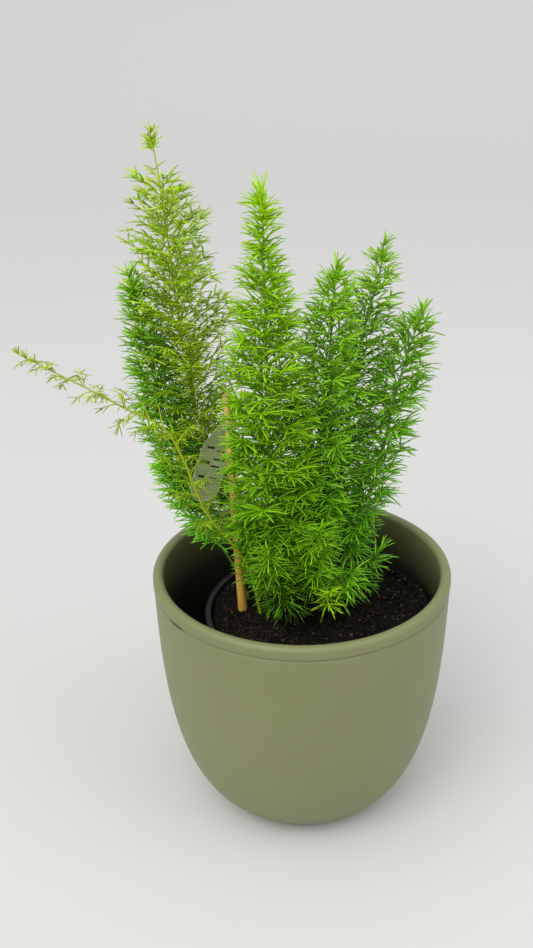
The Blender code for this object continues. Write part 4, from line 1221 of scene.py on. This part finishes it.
def dressTwig(needles, line, spec, rng, height, isMain):
    # near-level fans of needles on alternate sides of the twig, and an umbrella at its end
    course = Course(line)
    isLeader = height > 0.999                  # the stem's own tip
    clusters = max(3 if isLeader else 1, round(course.length / ruleOf(spec, "clusterGap")))
    outward = line[-1] - line[0]
    heading = math.atan2(outward.y, outward.x)
    if outward.xy.length < 0.35 * outward.length:      # an upright leader looks every way
        heading = rng.uniform(-math.pi, math.pi)
    turn = rng.choice((-1, 1))
    for i in range(clusters):
        last = i == clusters - 1 or isLeader
        place, ahead = course.at(course.length * (i + 1) / clusters)
        turn = -turn
        number = rng.randint(*ruleOf(spec, "umbrella" if last else "cluster"))
        spread, grow = leafRules["umbrellaSpread"], 1.0
        if last and isMain:                    # a full star low down, a half umbrella near the top
            number = round(rng.randint(*ruleOf(spec, "star")) * (1 - 0.5 * height))
            spread, grow = leafRules["starSpread"] - leafRules["starClosing"] * height, leafRules["starGrow"]
        for k in range(number):
            if last:
                azimuth = heading + math.radians(spread * (2 * (k + 0.5) / number - 1) + rng.uniform(-14, 14))
            else:
                azimuth = heading + turn * math.radians(rng.uniform(*ruleOf(spec, "side")))
            rise = math.radians(rng.uniform(*ruleOf(spec, "aim")) + 14 * height ** 3)
            if isLeader:
                rise = math.radians(rng.uniform(*leafRules["leaderAim"]))
            level = Vector((math.cos(azimuth), math.sin(azimuth), 0)) * math.cos(rise)
            away = (level + Vector((0, 0, math.sin(rise))) + ahead * 0.25).normalized()
            size = spec["needle"] * grow * rng.uniform(*leafRules["needleSpread"]) * (1.06 - 0.20 * height)
            if height > 0.94:
                size *= ruleOf(spec, "tuft")
            # painted shade: the inner twigs' needles are coloured darker low on the stem
            paintedShade = 0.0 if isMain else leafRules["paintedInnerShade"] * (1 - height)
            tone = rng.uniform(*ruleOf(spec, "tone")) - paintedShade
            if inTheClear(place, place + away * size):
                bend, roll = rng.uniform(*ruleOf(spec, "arch")), rng.uniform(-0.5, 0.5)
                needles.append((place, away, size, bend, roll, tone, height * ruleOf(spec, "shade")))
    if isLeader:
        place, ahead = course.at(course.length)
        needles.append((place, ahead, spec["needle"] * 0.8, 0.0, 0.0, 0.5, height))


def unitRows(rows):
    return rows / np.maximum(np.linalg.norm(rows, axis=1), 1e-9)[:, None]


def needleMesh(name, needles, width, thickness):
    # every needle is the modelled one, turned, sized and drooping a little to its tip
    count = len(needles)
    roots, ahead = (np.array([n[k] for n in needles]) for k in range(2))
    size, bend, roll, tone, height = (np.array([n[k] for n in needles]) for k in range(2, 7))
    lift = unitRows(np.array((0.0, 0.0, -1.0)) + ahead * ahead[:, 2:3])
    side = unitRows(np.cross(ahead, lift))
    across = side * np.cos(roll)[:, None] + lift * np.sin(roll)[:, None]
    through = np.cross(ahead, across)
    along = needleVerts[:, 0]
    verts = roots[:, None, :] + ahead[:, None, :] * (size[:, None] * along)[:, :, None]
    wide = width * (0.82 + 0.36 * np.minimum(height, 1.0))
    verts = verts + across[:, None, :] * (needleVerts[:, 1][None, :] * wide[:, None])[:, :, None]
    verts = verts + through[:, None, :] * (needleVerts[:, 2] * thickness)[None, :, None]
    verts = verts + lift[:, None, :] * ((bend * size)[:, None] * along ** 2)[:, :, None]
    step = len(needleVerts)
    faces = [[corner + step * i for corner in face] for i in range(count) for face in needleFaces]
    piece = meshFrom(name, verts.reshape(-1, 3), faces)
    carried = np.zeros((count, step, 4), np.float32)
    carried[:, :, 0] = tone[:, None]
    carried[:, :, 1] = along
    carried[:, :, 2] = height[:, None]
    carry(piece, "leafTone", "FLOAT_COLOR", carried.reshape(-1))
    return piece


def toneTubes(piece, lowest, highest, woody):
    heights = np.array([v.co.z for v in piece.data.vertices])
    tone = np.zeros((len(heights), 4), np.float32)
    tone[:, 0] = 0.5
    tone[:, 2] = np.clip((heights - lowest) / (highest - lowest), 0, 1)
    tone[:, 3] = woody
    carry(piece, "leafTone", "FLOAT_COLOR", tone.reshape(-1))


greenOf = {name: makeGreen(name) for name in greens}


def buildStem(name, spec):
    rng = random.Random(spec["seed"] + 200)
    needles, twigs = [], []
    rows = [(*row, True) for row in twigLines(spec, spec["seed"], leafRules["coarseGap"])]
    rows += [(*row, False) for row in twigLines(spec, spec["seed"] + 300, ruleOf(spec, "fillGap"))]
    rows += [(*row, True) for row in extraLines(spec)]
    for line, t, isMain in rows:
        if not inTheClear(line[0], line[2]):
            continue
        twigs.append((line, [leafRules["twigRadius"] * k for k in (1.2, 1.0, 0.6)]))
        dressTwig(needles, line, spec, rng, t, isMain)
    leader = leaderLine(spec)
    dressTwig(needles, leader, spec, rng, 1.0, False)

    stalk = stemLine(spec, 8)
    last = len(stalk) - 1
    foot = spec["radius"] * leafRules["stemShare"]
    radii = [foot * (1 - leafRules["stemTaper"] * max(i - 1, 0) / (last - 1)) for i in range(last + 1)]
    lowest, highest = spec["points"][0][2], spec["points"][-1][2]
    stem = tubesAlong(name + "Stalk", [(stalk, radii)], 2)
    toneTubes(stem, lowest, highest, 1.0)
    side = tubesAlong(name + "Twigs", twigs, 0)
    toneTubes(side, lowest, highest, 0.6)
    blades = needleMesh(name, needles, ruleOf(spec, "needleWidth"), ruleOf(spec, "needleThickness"))
    pickOnly(blades)
    stem.select_set(True)
    side.select_set(True)
    bpy.ops.object.join()
    bpy.ops.object.shade_smooth()
    dress(blades, name, greenOf[spec["green"]], greens[spec["green"]][0], spec["node"])
    blades.data.calc_loop_triangles()
    return len(needles), len(blades.data.loop_triangles)


totals = [0, 0]
for stemName, stemSpec in stems.items():
    made = buildStem(stemName, stemSpec)
    totals[0] += made[0]
    totals[1] += made[1]
    print("foliage:", stemName, made[0], "needles,", made[1], "triangles")
print("foliage in all:", totals[0], "needles,", totals[1], "triangles")
